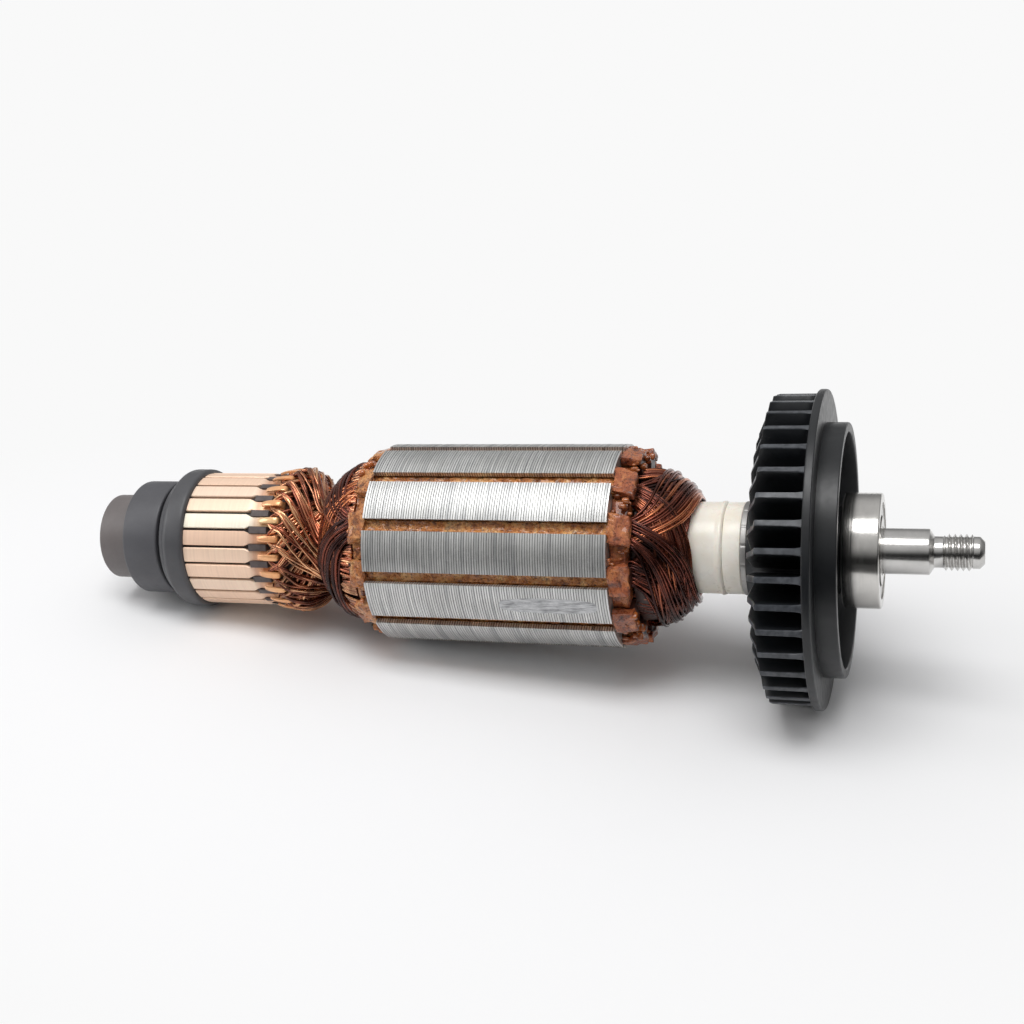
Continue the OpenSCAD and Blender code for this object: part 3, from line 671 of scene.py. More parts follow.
def wireLines(name, runs, shades):
    verts, edges, tone = [], [], []
    for run, shade in zip(runs, shades):
        base = len(verts)
        verts += run
        tone += [shade] * len(run)
        edges += [(base + i, base + i + 1) for i in range(len(run) - 1)]
    mesh = bpy.data.meshes.new(name)
    mesh.from_pydata(verts, edges, [])
    mesh.attributes.new("shade", "FLOAT", "POINT").data.foreach_set("value", tone)
    return linked(name, mesh)


def domePoint(head, rise, turn, depth):
    # a point on a coil head: rise is 0 at the slots and 90 beside the tube, depth lies under the top
    low, high, _ = span(head["node"])
    height = high - low - winding["crown"] * mm
    a = math.radians(rise)
    outer, inner = head["outer"] * mm, head["inner"] * mm
    n = Vector((math.cos(a) * height, math.sin(a) * (outer - inner))).normalized() * depth
    r = inner + (outer - inner) * math.cos(a) ** winding["roundness"] - n.x
    x = head["side"] * (height * math.sin(a) - n.y)
    return polar((low if head["side"] > 0 else high) + x, r, turn)


def coilRuns(head):
    chance = random.Random(head["seed"])
    runs, shades = [], []
    count, w = winding["wires"], winding
    for coil in range(core["slots"]):
        start = slotTurn(coil)
        layer = (core["slots"] - 1 - w["order"][coil]) * w["layerStep"]
        base = chance.uniform(*w["shade"])
        for i in range(count):
            q = i / (count - 1)
            top = w["lowRise"] + (w["highRise"] - w["lowRise"]) * q ** 0.8 + chance.uniform(-w["stray"], w["stray"])
            depth = (layer + w["wireR"] + chance.choice(w["sink"]) + chance.uniform(*w["settle"])) * mm
            side = math.degrees(w["slotWidth"] * (q - 0.5) / head["outer"])
            drift = chance.uniform(-w["drift"], w["drift"])
            wave = chance.uniform(0, 6.28)
            run = []
            for k in range(w["points"] + 1):
                t = k / w["points"]
                rise = top * (1 - abs(2 * t - 1) ** 2.0)
                turn = start + w["span"] * (t - w["bow"] * math.sin(2 * math.pi * t))
                turn += side * (2 * t - 1) + drift * math.sin(math.pi * t)
                ripple = (0.10 * math.sin(9 * t + wave) + 0.05 * math.sin(23 * t + 2 * wave)) * mm
                run.append(domePoint(head, rise, turn, depth * (1 - 0.4 * rise / 90) + ripple))
            # the ends run straight back into the slots
            back = Vector((head["side"] * w["endRun"] * mm, 0, 0))
            runs.append([run[0] - back] + run + [run[-1] - back])
            shades.append(min(1, max(0, base + chance.uniform(-w["shadeStray"], w["shadeStray"]))))
    return runs, shades


def layWires(name, node, lines, radius, material):
    wires = growPiece(name, wireLines("runs", *lines), wireTree(material),
                      {"Radius": radius * mm, "Sides": winding["sides"]}, 60)
    finishPiece(wires, rotor, [node])


def buildHead(head):
    node = head["node"]
    layWires(node + "_wires", node, coilRuns(head), winding["wireR"], wireDark)
    # dark varnished wire shows between the outer wires
    points = [domePoint(head, a, 0, winding["bedDepth"] * mm) for a in range(0, 91, 6)]
    outline = [(p.x, -p.z) for p in points] + [(points[-1].x, head["bore"] * mm), (points[0].x, head["bore"] * mm)]
    finishPiece(turned(node + "_bed", outline, 72), rotor, [node], wireBed)


for head in (driveHead, commutatorHead):
    buildHead(head)
print("coil heads wound")

# bars and hooks, which the leads follow
# one bar, given by its index, is coloured near white as a painted highlight
bars = {"radius": 12.1, "brush": 13.1, "height": 2.7, "gap": 0.5, "shoulder": 0.9, "riserWidth": 1.9, "edge": 0.12,
        "firstBar": 243.5, "count": 24, "seed": 9, "highlightBar": 23}
hook = {"width": 1.1, "thick": 0.45, "length": 4.1, "riser": 11.7, "wire": 0.85}
barLow, barHigh, _ = span("commutator_bar_01")


def barTurn(i):
    return bars["firstBar"] + i * 360 / bars["count"]


def leadRuns():
    chance = random.Random(leads["seed"])
    runs, shades = [], []
    bulge = leads["bulge"]
    for bar in range(bars["count"]):
        for n in range(2 * leads["perWay"]):
            way = 1 if n % 2 else -1
            r0 = hook["riser"] + 0.25 + 0.5 * (n // 2) / leads["perWay"]
            lift = (0.35 if way > 0 else -0.15) + chance.uniform(*leads["lift"])
            turn = way * (leads["turn"] + chance.uniform(*leads["sway"]))
            # radius, share of the turn, x from the end of the bars
            course = [(r0, -0.045, -2.2), (r0, 0.04, -2.0), (r0 + 0.25, 0.10, -1.1),
                      (bulge - 0.1 + lift * 0.3, 0.14, 0.1), (bulge - 0.5 + lift, 0.22, 1.2),
                      (11.5 + lift, 0.36, 2.5), (10.1 + lift, 0.55, 3.8), (8.9 + lift, 0.78, 5.0),
                      (8.7 + lift, 1.0, 6.4), (9.9 + lift, 1.16, 8.2), (12.0 + lift * 0.8, 1.26, 10.4),
                      (13.8 + lift * 0.4, 1.32, 12.6), (14.7, 1.34, 15.2)]
            pts = [polar(barHigh + x * mm, r * mm, barTurn(bar) + turn * share) for r, share, x in course]
            for p in pts[3:-2]:
                p += Vector([chance.uniform(-leads["stray"], leads["stray"]) * mm for _ in range(3)])
            runs.append(smoothRun(pts, 4))
            shades.append(chance.uniform(*leads["shade"]))
    return runs, shades


def smoothRun(pts, steps):
    # a curve through the points
    out = []
    for i in range(len(pts) - 1):
        a, b, c, d = pts[max(i - 1, 0)], pts[i], pts[i + 1], pts[min(i + 2, len(pts) - 1)]
        for k in range(steps):
            t = k / steps
            out.append(0.5 * ((2 * b) + (c - a) * t + (2 * a - 5 * b + 4 * c - d) * t * t
                              + (3 * b - a - 3 * c + d) * t ** 3))
    out.append(pts[-1])
    return out


def buildLeads():
    node = "commutator_leads"
    layWires("commutator_lead_wires", node, leadRuns(), leads["wireR"], wireLead)
    bore, waist = 6.6, (span("commutator_end_winding")[0] - barHigh) / mm + 2
    bed = [(0.2, bore), (0.2, 11.4), (1.0, 11.6), (2.4, 10.7), (4.2, 8.7), (waist, 7.9), (waist, bore)]
    bed = turned("commutator_lead_bed", [(barHigh + x * mm, r * mm) for x, r in bed], 72)
    finishPiece(bed, rotor, [node], wireBed)


buildLeads()
print("leads laid")

# wedges, tabs and end insulators
strip = {"width": 3.9, "over": 0.8, "steps": 200, "across": 14, "topR": 16.0, "limitR": 16.55, "underR": 15.4,
         "lipAt": 0.82, "lipWidth": 0.22}
endPlate = {"blockR": 12.6, "width": 3.7, "tall": 5.0, "bore": 8.0, "edge": 10.6}
tabs = {"width": 5.2, "rear": 3.0, "drive": 3.7, "rough": 0.26, "drips": 14, "seed": 5, "topR": 17.0, "lowR": 15.7}


def lumpyBox(center, size, rough, seed, cuts=5, soft=0.35):
    # a box with rounded corners and an uneven skin
    bm = bmesh.new()
    bmesh.ops.create_cube(bm, size=1)
    bmesh.ops.subdivide_edges(bm, edges=bm.edges[:], cuts=cuts, use_grid_fill=True)
    half = Vector(size) / 2
    lim = min(half) * soft
    for v in bm.verts:
        p = v.co * Vector(size)
        inside = Vector([max(-h + lim, min(h - lim, c)) for h, c in zip(half, p)])
        off = p - inside
        if off.length > lim:
            p = inside + off.normalized() * lim
        n = noise.noise_vector((p + center) * 1400 + Vector((seed, 0, 0)))
        m = noise.noise_vector((p + center) * 520 + Vector((0, seed, 0)))
        v.co = center + p + n * rough * 0.55 + m * rough
    verts = [v.co.copy() for v in bm.verts]
    faces = [[v.index for v in f.verts] for f in bm.faces]
    bm.free()
    return verts, faces


def aroundShaft(shape, turn):
    # the shape's points are (x, sideways, radius); this stands it at the angle
    verts, faces = shape
    c, s = math.cos(math.radians(turn)), math.sin(math.radians(turn))
    return [Vector((v.x, v.z * s + v.y * c, v.y * s - v.z * c)) for v in verts], faces


def mergedPiece(name, shapes, smooth=50):
    verts, faces = [], []
    for v, f in shapes:
        base = len(verts)
        verts += v
        faces += [[base + i for i in face] for face in f]
    return newPiece(name, verts, faces, smooth)


def ribbon(seed):
    # the strip that closes a slot: uneven, with a raised lip where the paper turns up beside each tooth
    steps, across = strip["steps"], strip["across"]
    long = coreRight - coreLeft + 2 * strip["over"] * mm
    verts = []
    for i in range(steps + 1):
        x = coreLeft - strip["over"] * mm + long * i / steps
        for j in range(across + 1):
            y = strip["width"] * mm * (j / across - 0.5)
            spot = Vector((x * 620, y * 1500, seed * 3.7))
            lip = math.exp(-((abs(y) / mm - strip["lipAt"]) / strip["lipWidth"]) ** 2)
            rise = 0.26 * noise.noise(spot) + 0.15 * noise.noise(spot * 3.1)
            rise += 0.20 * lip * (1 + noise.noise(spot * 0.7))
            verts.append(Vector((x, y, min(strip["limitR"], strip["topR"] + rise) * mm)))
    # a flat underside closes it
    verts += [Vector((v.x, v.y, strip["underR"] * mm)) for v in verts]
    return verts, slabFaces(steps, across)


def buildWedges():
    chance = random.Random(tabs["seed"])
    strips, drips, folds = [], [], {-1: [], 1: []}
    low, top, rough = tabs["lowR"] * mm, tabs["topR"] * mm, tabs["rough"] * mm
    for i in range(core["slots"]):
        turn = slotTurn(i)
        strips.append(aroundShaft(ribbon(i), turn))
        for side, depth in ((-1, tabs["rear"]), (1, tabs["drive"])):
            start = coreLeft if side < 0 else coreRight
            # each tab is a folded end with a second, shorter fold on it
            for part in range(2):
                long = (depth * (1 - 0.45 * part) + chance.uniform(-0.45, 0.1)) * mm
                wide = (tabs["width"] * (1 - 0.35 * part) + chance.uniform(-0.7, 0.1)) * mm
                mid = Vector((start + side * (long / 2 + 0.12 * mm),
                              chance.uniform(-0.25, 0.25) * mm * (1 + 2 * part),
                              low + (top - low) * (0.35 + 0.25 * part) - chance.uniform(0.05, 0.25) * mm))
                box = lumpyBox(mid, (long, wide, (top - low) * (1 - 0.3 * part)),
                               rough * (1.7 if side < 0 else 1.3), i * 3 + side + part * 50, 9, 0.3)
                skew, dip = chance.uniform(-0.3, 0.3), side * chance.uniform(0, 0.28)
                for p in box[0]:
                    p.y += (p.x - mid.x) * skew
                    p.z = min(p.z - (p.x - mid.x) * dip, top - 0.5 * p.y ** 2 / top)
                folds[side].append(aroundShaft(box, turn))
            # resin that ran down over the tab and into the gap beside it
            for k in range(tabs["drips"]):
                drop = chance.uniform(0.35, 1.0) * mm
                mid = Vector((start + side * chance.uniform(0.3, depth) * mm, chance.uniform(-4.0, 4.0) * mm,
                              chance.uniform(14.2, 16.3) * mm))
                size = (drop * chance.uniform(1, 1.8), drop, drop * chance.uniform(1, 1.6))
                drips.append(aroundShaft(lumpyBox(mid, size, 0.12 * mm, i + k, 3, 0.95), turn))
    for name, shapes, mat in (("slot_strips", strips, wedgeFibre), ("wedge_tabs_rear", folds[-1], paleFibre),
                              ("wedge_tabs_drive", folds[1], redFibre), ("resin_drops", drips, resinAmber)):
        finishPiece(mergedPiece(name, shapes), rotor, ["slot_wedges"], mat)


def buildEndPlates():
    # the fibre plates, with a lumpy block behind each tooth
    for node, side, depth, mat in (("commutator_end_insulator", -1, 2.7, paleFibre),
                                   ("drive_end_insulator", 1, 2.9, redFibre)):
        start = coreLeft if side < 0 else coreRight
        mid = Vector((start + side * depth * mm / 2, 0, endPlate["blockR"] * mm))
        size = (depth * mm, endPlate["width"] * mm, endPlate["tall"] * mm)
        blocks = mergedPiece(node + "_blocks", [aroundShaft(lumpyBox(mid, size, 0.16 * mm, i + 31, 6, 0.25),
                                                            slotTurn(i + 0.5)) for i in range(core["slots"])])
        low, high = start + side * 0.1 * mm, start + side * 1.2 * mm
        bore, edge = endPlate["bore"] * mm, endPlate["edge"] * mm
        plate = turned(node + "_plate", [(low, bore), (low, edge), (high, edge), (high, bore)], 72)
        finishPiece(joinPieces(node + "_piece", [blocks, plate]), rotor, [node], mat)


buildWedges()
buildEndPlates()
print("wedges and tabs placed")

# commutator
barTints = [(254, 219, 192), (255, 223, 197), (252, 214, 187), (255, 227, 203), (254, 219, 192)]


def barShape(root, corner):
    # a bar seen along the shaft, with rounded top corners, drawn at each step of its length
    wide = (2 * math.pi * bars["radius"] / bars["count"] - bars["gap"]) * mm
    top, low, narrow = bars["radius"] * mm, hook["riser"] * mm, bars["riserWidth"] * mm
    stop, shoulder = barLow + bars["brush"] * mm, bars["shoulder"] * mm
    verts = []
    course = [(barLow, top - corner, wide - corner), (barLow + corner, top, wide), (stop - shoulder, top, wide),
              (stop - shoulder * 0.4, top - 0.03 * mm, narrow * 0.55 + wide * 0.45),
              (stop, top - 0.12 * mm, narrow), (stop + 0.5 * mm, low, narrow), (barHigh - corner, low, narrow),
              (barHigh, low - corner, narrow - corner)]
    for x, r, w in course:
        side = math.asin(w / 2 / r)
        loop = [(-root * math.tan(side), root), (-w / 2, r * math.cos(side) - corner)]
        for k in range(5):
            a = (side - corner / r) * (k / 2 - 1)
            loop.append((r * math.sin(a), r * math.cos(a)))
        loop += [(w / 2, r * math.cos(side) - corner), (root * math.tan(side), root)]
        verts += [Vector((x, y, z)) for y, z in loop]
    return verts, tubeFaces(len(course), len(loop))


def hookShape(endX, chance):
    # the hook folds back over its wire: the course is (x, r) from the bar's end, first beside the bar, then over it
    riser = (hook["riser"] - 0.15) * mm
    topR = riser + (hook["wire"] + 0.62) * mm
    long = hook["length"] - 0.05 + chance.uniform(-0.12, 0.04)
    foot = [(-1.1, -0.05), (-0.28, 0.05), (-0.24, 0.55)]
    over = [(-0.34, -0.35), (-0.85, -0.22), (-1.9, -0.25), (-long * 0.8, -0.45), (-long, -0.72)]
    pts = smoothRun([Vector((endX + x * mm, 0, start + r * mm)) for start, course in ((riser, foot), (topR, over))
                     for x, r in course], 4)
    corner = [(-1, 0.35), (-0.75, 0.5), (0.75, 0.5), (1, 0.35)]
    section = corner + [(-x, -y) for x, y in corner]
    verts = []
    for i, p in enumerate(pts):
        tangent = (pts[min(i + 1, len(pts) - 1)] - pts[max(i - 1, 0)]).normalized()
        normal = Vector((0, 1, 0)).cross(tangent) * hook["thick"] * mm
        wide = hook["width"] * mm / 2 * (1 - max(0, i / (len(pts) - 1) - 0.75))
        verts += [p + Vector((0, x * wide, 0)) + normal * y for x, y in section]
    return verts, tubeFaces(len(pts), len(section))


def buildBars():
    chance = random.Random(bars["seed"])
    mats = [commutatorCopper("barCopper" + str(i), tint) for i, tint in enumerate(barTints)]
    # near-white copper for one bar: a painted highlight where that bar faces the light
    highlightBar = commutatorCopper("barPaintedHighlight", (254, 246, 226))
    for i in range(bars["count"]):
        node = "commutator_bar_%02d" % (i + 1)
        shapes = [barShape((bars["radius"] - bars["height"]) * mm, bars["edge"] * mm), hookShape(barHigh, chance)]
        piece = mergedPiece(node + "_piece", [aroundShaft(shape, barTurn(i)) for shape in shapes], 40)
        mat = highlightBar if i == bars["highlightBar"] else chance.choice(mats)
        finishPiece(piece, rotor, [node], mat)


def paintNodes(looks):
    # hidden solids keep their own shape and get a material
    for node, material in looks.items():
        mesh = frame["nodes"][node].data
        mesh.materials.clear()
        mesh.materials.append(material)


buildBars()
paintNodes({"commutator_moulding": moulding, "commutator_bush": bushSteel, "slot_liners": paperTan,
            "slot_coil_sides": wireBed})
for end in ("drive", "rear"):
    paintNodes({end + "_bearing_cage": cageMetal, end + "_bearing_balls": bearingSteel,
                end + "_bearing_inner_ring": bearingSteel, end + "_bearing_shields": shieldSteel})
print("commutator built")

# turned parts; bores are the holes that clear the shaft's body and its journal
bores = {"body": 5.02, "journal": 3.51}
collar = {"nose": 1.9, "noseLength": 2.0, "round": 0.8}
sleeve = {"wall": 0.98, "round": 0.5, "lip": 0.5, "clear": 0.3}
magnet = {"round": 0.45, "dish": 0.25, "dishR": 4.4}
tube = {"body": 7.75, "coreBore": 6.48, "waver": 0.35, "round": 0.3, "seed": 3}


def buildTurned():
    body, journal = bores["body"] * mm, bores["journal"] * mm
    low, high, r = span("dust_collar")
    nose, long = collar["nose"] * mm, collar["noseLength"] * mm
    outline = rounded([(low, body, False), (low, r - nose, True), (low + long * 0.57, r - nose * 0.7, True),
                       (low + long, r, True), (high, r, True), (high, body, False)], collar["round"] * mm, 5)
    finishPiece(turned("dust_collar_turned", outline), rotor, ["dust_collar"], blackPlastic)

    # the spacer's near black is painted shade for the gap beside the dust collar
    spacer = turned("spacer_turned", ringOutline("spacer_bush", bores["journal"], 0.2))
    finishPiece(spacer, rotor, ["spacer_bush"], spacerPaintedShade)

    low, high, r = span("magnet_ring")
    outline = rounded([(low + magnet["dish"] * mm, journal, False), (low, magnet["dishR"] * mm, True),
                       (low, r, True), (high, r, False), (high, journal, False)], magnet["round"] * mm, 5)
    finishPiece(turned("magnet_ring_turned", outline), rotor, ["magnet_ring"], magnetGrey)

    inner = r + sleeve["clear"] * mm
    low, high, r = span("rubber_sleeve")
    lip, bore = low + sleeve["lip"] * mm, r - sleeve["wall"] * mm
    outline = rounded([(low, inner, True), (low, r, True), (high, r, True), (high, bore, False),
                       (lip, bore, False), (lip, inner, False)], sleeve["round"] * mm, 4)
    finishPiece(turned("sleeve_turned", outline), "rear_bearing", ["rubber_sleeve"], blackRubber)


def buildTube():
    # the tube's end is flared into a slightly uneven bead
    low, high, r = span("insulating_tube")
    body, wide, inner = tube["body"] * mm, coreRight + 0.02 * mm, tube["coreBore"] * mm
    bead = r - body
    outline = [(low, bores["body"] * mm), (low, inner), (wide, inner), (wide, body - 0.02 * mm)]
    # from the end of the tube: distance in mm, share of the bead's height
    outline += [(high - back * mm, body + bead * share)
                for back, share in ((1.5, 0), (1.05, 0.1), (0.8, 0.8), (0.55, 1), (0.3, 0.8), (0.12, 0.1))]
    outline += [(high, body - 0.1 * mm), (high, bores["body"] * mm)]
    piece = turned("tube_turned", outline)
    for v in piece.data.vertices:
        if high - 1.2 * mm < v.co.x < high - 0.2 * mm and math.hypot(v.co.y, v.co.z) > body * 0.99:
            a = math.atan2(v.co.y, v.co.z)
            wave = noise.noise(Vector((math.cos(a) * 3.3, math.sin(a) * 3.3, tube["seed"])))
            fine = noise.noise(Vector((math.cos(a) * 14, math.sin(a) * 14, tube["seed"] + v.co.x * 900)))
            fade = 1 + min(0, fine * 0.8 - 0.1) * 0.012
            v.co = Vector((v.co.x + (wave * 0.7 + fine * 0.4) * tube["waver"] * mm, v.co.y * fade, v.co.z * fade))
    finishPiece(piece, rotor, ["insulating_tube"], ivoryPlastic)
    ring = turned("collar_turned", ringOutline("insulating_collar", bores["body"], tube["round"]))
    finishPiece(ring, rotor, ["insulating_collar"], ivoryPlastic)


washer = {"notches": 15, "depth": 0.2, "steps": 240, "round": 0.15}


def buildWasher():
    r = span("notched_washer")[2]
    piece = turned("washer_turned", ringOutline("notched_washer", bores["body"], washer["round"]), washer["steps"])
    every = washer["steps"] // washer["notches"]
    for v in piece.data.vertices:
        reach = math.hypot(v.co.y, v.co.z)
        step = round(math.degrees(math.atan2(v.co.y, -v.co.z)) * washer["steps"] / 360) % every
        if reach > r * 0.9 and step == 0:
            share = 1 - washer["depth"] * mm / reach
            v.co = Vector((v.co.x, v.co.y * share, v.co.z * share))
    finishPiece(piece, rotor, ["notched_washer"], washerSteel)


buildTurned()
buildTube()
buildWasher()
print("turned parts done")

# fan
fan = {"blades": 37, "firstBlade": 244, "thick": 1.1, "lean": 10, "rootR": 12.5, "bladeR": 25.7, "slope": 2.6,
       "cut": 2.3, "cutR": 20.5, "height": 6.7, "disc": 1.35, "cupR": 21.05, "cupWall": 1.6, "cupDepth": 3.4,
       "hubR": 9.0, "hubFlare": 3.0, "flare": 0.45, "intoHub": 2.2, "edge": 0.14, "taper": 0.06,
       "jitter": 0.003, "pocketR": 7.3, "pocketX": -3.3, "round": 0.35}
fanLow, fanHigh, fanR = span("cooling_fan")
discX = fanHigh - fan["cupDepth"] * mm
discBack = discX - fan["disc"] * mm


def bladeMesh():
    # one blade: rows run from the disc to the free edge, columns from the outer end to the hub
    bladeEdge, discMid = discBack - fan["height"] * mm, discX - fan["disc"] * mm * 0.5
    lean = math.radians(fan["lean"])
    outer = Vector((fan["bladeR"] * mm, 0))
    run = outer - Vector((math.cos(lean), math.sin(lean))) * fan["rootR"] * mm
    along = run.normalized()
    across = Vector((-along.y, along.x))
    # the blade runs on into the hub
    length = run.length + fan["intoHub"] * mm
    steep = (fan["bladeR"] - fan["cutR"]) / (fan["bladeR"] - fan["rootR"])
    cols, rows, edge = 15, 8, fan["edge"] * mm
    verts = []
    for side in (1, -1):
        for i in range(rows + 1):
            v = i / rows
            root = max(0, 1 - v / 0.22) ** 2 * fan["flare"]
            half = (fan["thick"] / 2 + root - fan["taper"] * v) * mm * (0.80 if i == rows else 1)
            for j in range(cols + 1):
                u = min(1, j / cols * length / run.length)
                if u < steep:
                    cut = fan["cut"] * u / steep
                else:
                    cut = fan["cut"] + (fan["slope"] - fan["cut"]) * (u - steep) / (1 - steep)
                edgeX = bladeEdge - cut * mm
                x = edgeX + edge if i == rows - 1 else discMid + (edgeX - discMid) * v
                w = half * side * (0.82 if j == 0 else 1)
                p = outer - along * (edge if j == 1 else length * j / cols) + across * w
                # the blade stands at the bottom of the shaft
                verts.append(Vector((x, p.y, -p.x)))
    faces = slabFaces(rows, cols)
    blade = newPiece("blade", verts, faces, 35)
    # the free edge and the outer end are marked for the painted highlight
    wide, n = cols + 1, len(verts) // 2
    highlightedFaces = [float(any(k % wide == 0 for k in face) or all(k % n >= rows * wide for k in face)) for face in faces]
    blade.data.attributes.new("paintedHighlight", "FLOAT", "FACE").data.foreach_set("value", highlightedFaces)
    return blade


def bladesTree(material):
    # copies of one blade around the shaft
    tree, given, out = newTree("bladeRing", [("Count", "Int"), ("First", "Float"), ("Jitter", "Float"),
                                             ("Seed", "Int")])
    take = given.outputs
    row = addNode(tree, "GeometryNodeMeshLine", Count=take["Count"], Offset=(0, 0, 0))
    share = maths(tree, "DIVIDE", addNode(tree, "GeometryNodeInputIndex").outputs[0], take["Count"])
    full = maths(tree, "MULTIPLY_ADD", share, 2 * math.pi, take["First"])
    wobble = randomValue(tree, maths(tree, "MULTIPLY", take["Jitter"], -1), take["Jitter"], take["Seed"])
    turn = addNode(tree, "ShaderNodeCombineXYZ", X=maths(tree, "ADD", full, wobble))
    copies = addNode(tree, "GeometryNodeInstanceOnPoints", Points=row.outputs[0], Instance=take["Geometry"],
                     Rotation=turn.outputs[0])
    endTree(tree, copies.outputs[0], out, material)
    return tree


def buildFan():
    first = math.radians(fan["firstBlade"])
    blades = growPiece("fan_blades", bladeMesh(), bladesTree(fanPlastic),
                       {"Count": fan["blades"], "First": first, "Jitter": fan["jitter"], "Seed": 2}, 35)
    cupR, wall, body = fan["cupR"] * mm, fan["cupWall"] * mm, bores["body"] * mm
    hub, flare, pocket, floorX = fan["hubR"] * mm, fan["hubFlare"] * mm, fan["pocketR"] * mm, fan["pocketX"] * mm
    outline = rounded([(fanLow, body, False), (fanLow, hub, True), (discBack - flare, hub + 0.4 * flare, False),
                       (discBack, hub + flare, False), (discBack, fanR, True), (discX, fanR, True),
                       (discX, cupR, False), (fanHigh, cupR, True), (fanHigh, cupR - wall, True),
                       (discX, cupR - wall, False), (discX, pocket, False), (floorX, pocket, False),
                       (floorX, body, False)], fan["round"] * mm)
    finishPiece(blades, rotor, ["cooling_fan"])
    finishPiece(turned("fan_body", outline, 180), rotor, ["cooling_fan"], fanPlastic)


buildFan()
print("fan built")

# bearings and shaft
bearing = {"round": 0.35, "seatR": 7.95, "seatDepth": 0.5, "landR": 7.45, "grooveR": 1.54, "raceR": 6.75}
thread = {"pitch": 0.9, "depth": 0.50, "start": 12.6, "end": 17.3, "major": 3.0, "perTurn": 20,
          "runIn": 0.25, "runOut": 0.35, "flat": 0.06, "flank": 0.80}
shaftPlan = {"journal": 3.48, "body": 5.0, "drive": 3.98, "seat": 3.75, "relief": 2.55, "seatEnd": 10.4,
             "reliefStart": 11.2, "tip": 19.0, "tipR": 2.6, "centreHole": 1.1, "step": -3.02}


def buildBearings():
    seat, land, depth = bearing["seatR"] * mm, bearing["landR"] * mm, bearing["seatDepth"] * mm
    ball, race = bearing["grooveR"] * mm, bearing["raceR"] * mm
    for node, body in (("drive_bearing_outer_ring", "drive_bearing"), ("rear_bearing_outer_ring", "rear_bearing")):
        low, high, _ = span(node)
        groove = [((low + high) / 2 + ball * math.cos(a), race + ball * math.sin(a))
                  for a in [math.radians(30 + 12 * k) for k in range(11)]]
        outline = ringOutline(node, bearing["seatR"], bearing["round"], 5)
        outline += [(high - depth, seat), (high - depth, land)] + groove + [(low + depth, land), (low + depth, seat)]
        finishPiece(turned(node + "_turned", outline, 144), body, [node], bearingSteel)


def threadRows(steps):
    # rows along the threaded end, each with a radius per step around the shaft
    rows = []
    start, end, pitch = thread["start"], thread["end"], thread["pitch"]
    count = int((end - start) / pitch * thread["perTurn"])
    for i in range(count + 1):
        x = start + (end - start) * i / count
        fade = min(1, (x - start) / thread["runIn"], (end - x) / thread["runOut"])
        row = []
        for j in range(steps):
            wave = abs(2 * ((x / pitch - j / steps) % 1) - 1)
            r = thread["major"] - thread["depth"] * min(1, max(0, (wave - thread["flat"]) / thread["flank"]))
            row.append(((shaftPlan["relief"] + 0.05) * (1 - fade) + r * fade) * mm)
        rows.append((x * mm, row))
    return rows


def buildShaft():
    low, tail, steps, p = span("shaft")[0], span("dust_collar")[0], 96, shaftPlan
    # (x, radius) in mm, from the magnet's end to the thread
    plain = [(low / mm + 1.2, 0), (low / mm + 1.2, 0.3), (low / mm, 1.2), (low / mm, p["journal"] - 0.25),
             (low / mm + 0.25, p["journal"]), (tail / mm, p["journal"]), (tail / mm, p["body"]),
             (p["step"], p["body"]), (p["step"], p["drive"]), (2.75, p["drive"]), (3.0, p["seat"]),
             (3.05, p["seat"]), (p["seatEnd"] - 0.06, p["seat"]), (p["seatEnd"] + 0.06, p["seat"] - 0.05),
             (p["reliefStart"] - 0.04, p["relief"] + 0.04), (p["reliefStart"] + 0.06, p["relief"]),
             (thread["start"] - 0.1, p["relief"])]
    tip, r = p["tip"], p["tipR"]
    end = [(thread["end"] + 0.08, r), (tip - 0.85, r), (tip - 0.70, r - 0.06), (tip - 0.06, r - 0.72),
           (tip, r - 0.82), (tip, p["centreHole"]), (tip - 1.0, 0.2), (tip - 1.0, 0)]
    first, last = [[(x * mm, radius * mm) for x, radius in part] for part in (plain, end)]
    piece = turned("shaft_turned", first + threadRows(steps) + last, steps, 28)
    finishPiece(piece, rotor, ["shaft"], shaftSteel)


buildBearings()
buildShaft()
print("shaft and bearings turned")

# floor, light and finish


def paperLook():
    # the paper takes the shadow near the shaft and is evenly white further out
    look, tone = Look("paper", (0.9, 0.9, 0.9, 1), 0.9), floorPlan["tone"]
    tree = look.tree
    tree.nodes.remove(look.bsdf)
    paper = addNode(tree, "ShaderNodeBsdfDiffuse", Color=(tone, tone, tone * 1.01, 1))
    plain = addNode(tree, "ShaderNodeEmission", Color=(1, 1, 1, 1), Strength=floorPlan["white"])
    place = addNode(tree, "ShaderNodeSeparateXYZ", Vector=addNode(tree, "ShaderNodeTexCoord").outputs["Object"])
    away = []
    for axis, shift, size in zip("XY", floorPlan["shadowShift"], floorPlan["shadowSize"]):
        off = maths(tree, "DIVIDE", maths(tree, "ADD", place.outputs[axis], shift * mm), size * mm)
        away.append(maths(tree, "MULTIPLY", off, off))
    path = addNode(tree, "ShaderNodeLightPath").outputs
    seen = maths(tree, "MAXIMUM", maths(tree, "MAXIMUM", path["Is Camera Ray"], path["Is Glossy Ray"]),
                 path["Is Transmission Ray"])
    far = maths(tree, "MULTIPLY", look.ramp(maths(tree, "ADD", *away), (0.18, 0), (0.85, 1)), seen)
    both = addNode(tree, "ShaderNodeMixShader")
    for socket, source in zip(both.inputs, (far, paper.outputs[0], plain.outputs[0])):
        tree.links.new(source, socket)
    tree.links.new(both.outputs[0], tree.nodes["Material Output"].inputs["Surface"])
    return look.mat


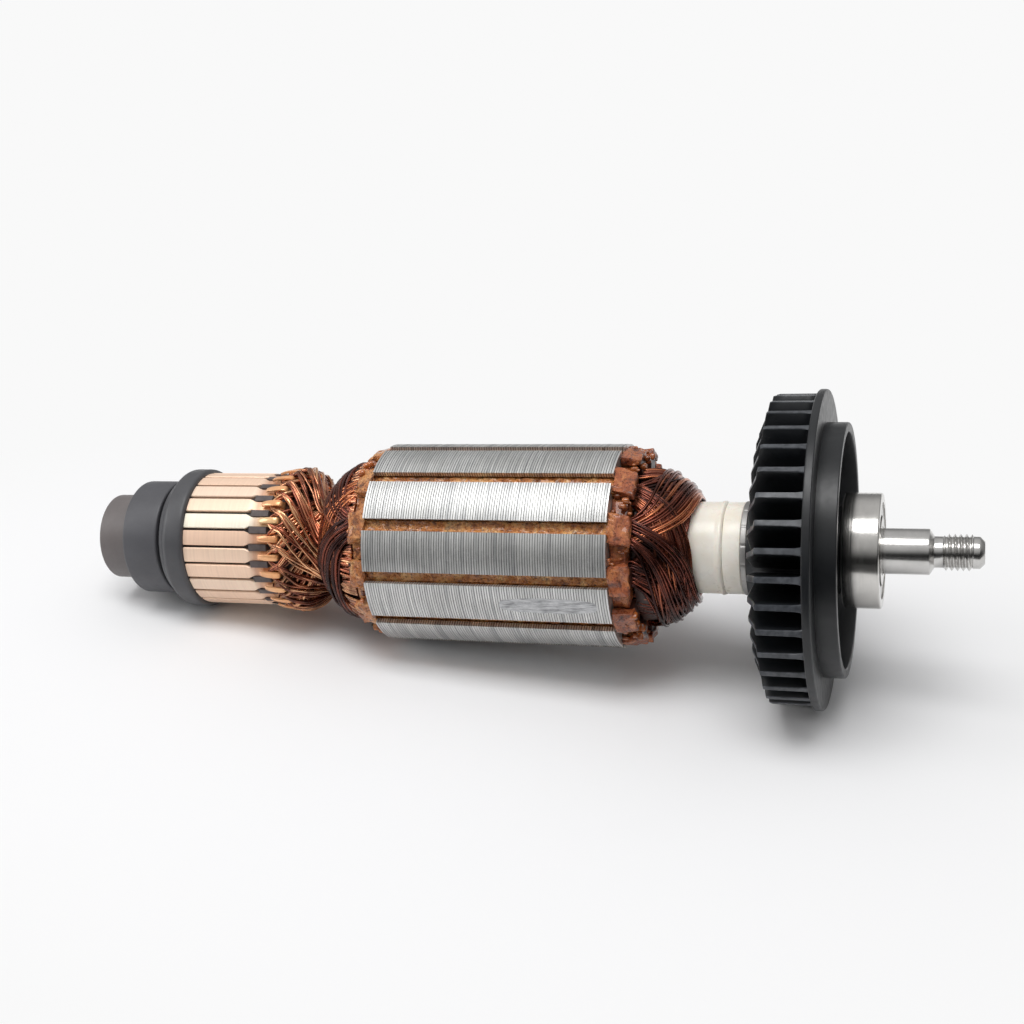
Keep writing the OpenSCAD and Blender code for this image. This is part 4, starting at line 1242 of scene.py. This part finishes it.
def buildFloor():
    # a white sheet under the fan's rim and the dust collar, with a dark table in front of it
    fanX, collarX = fanLow + floorPlan["rimX"] * mm, span("dust_collar")[0] + collar["noseLength"] * mm
    drop = fanR - span("dust_collar")[2]
    turn = math.radians(floorPlan["turn"])
    c, s = math.cos(turn), math.sin(turn)
    reach, front = floorPlan["reach"] * mm, floorPlan["front"] * mm
    table = Look("table", (0.02, 0.02, 0.02, 1), 0.8).mat
    for name, near, far, sink, material in (("paper_sheet", -front, reach, floorPlan["paperSink"], paperLook()),
                                            ("dark_table", -reach, -front, floorPlan["tableSink"], table)):
        mesh = bpy.data.meshes.new(name)
        corners = [(-reach, near), (reach, near), (reach, far), (-reach, far)]
        mesh.from_pydata([(x * c - y * s, x * s + y * c, 0) for x, y in corners], [], [(0, 1, 2, 3)])
        mesh.materials.append(material)
        obj = linked(name, mesh)
        obj.location = (fanX, 0, -fanR - sink * mm)
        obj.rotation_euler = (0, math.atan2(drop, fanX - collarX), 0)


def buildWorld():
    world = bpy.data.worlds.new("studio")
    bpy.context.scene.world = world
    world.use_nodes = True
    tree = world.node_tree
    back = tree.nodes["Background"]
    place = addNode(tree, "ShaderNodeTexCoord")
    split = addNode(tree, "ShaderNodeSeparateXYZ", Vector=place.outputs["Generated"])
    side = ramp(tree, maths(tree, "MULTIPLY_ADD", split.outputs["Y"], 0.5, 0.5), [(0.35, 0), (0.6, 1)])
    both = mixColor(tree, "MIX", side, *[ramp(tree, split.outputs["Z"], sky[part]) for part in ("front", "back")])
    tree.links.new(both, back.inputs["Color"])
    back.inputs["Strength"].default_value = sky["strength"]


def buildLamps():
    for name, plan in lamps.items():
        data = bpy.data.lights.new(name, "AREA")
        data.shape = "RECTANGLE"
        data.size, data.size_y = [v * mm for v in plan["size"]]
        data.energy = plan["power"]
        obj = linked(name, data)
        obj.location = [v * mm for v in plan["at"]]
        aim = Vector(lampTarget) * mm - obj.location
        obj.rotation_euler = aim.to_track_quat("-Z", "Y").to_euler()


buildFloor()
buildWorld()
buildLamps()
bpy.context.scene.view_settings.view_transform = "Standard"
print("stage lit")
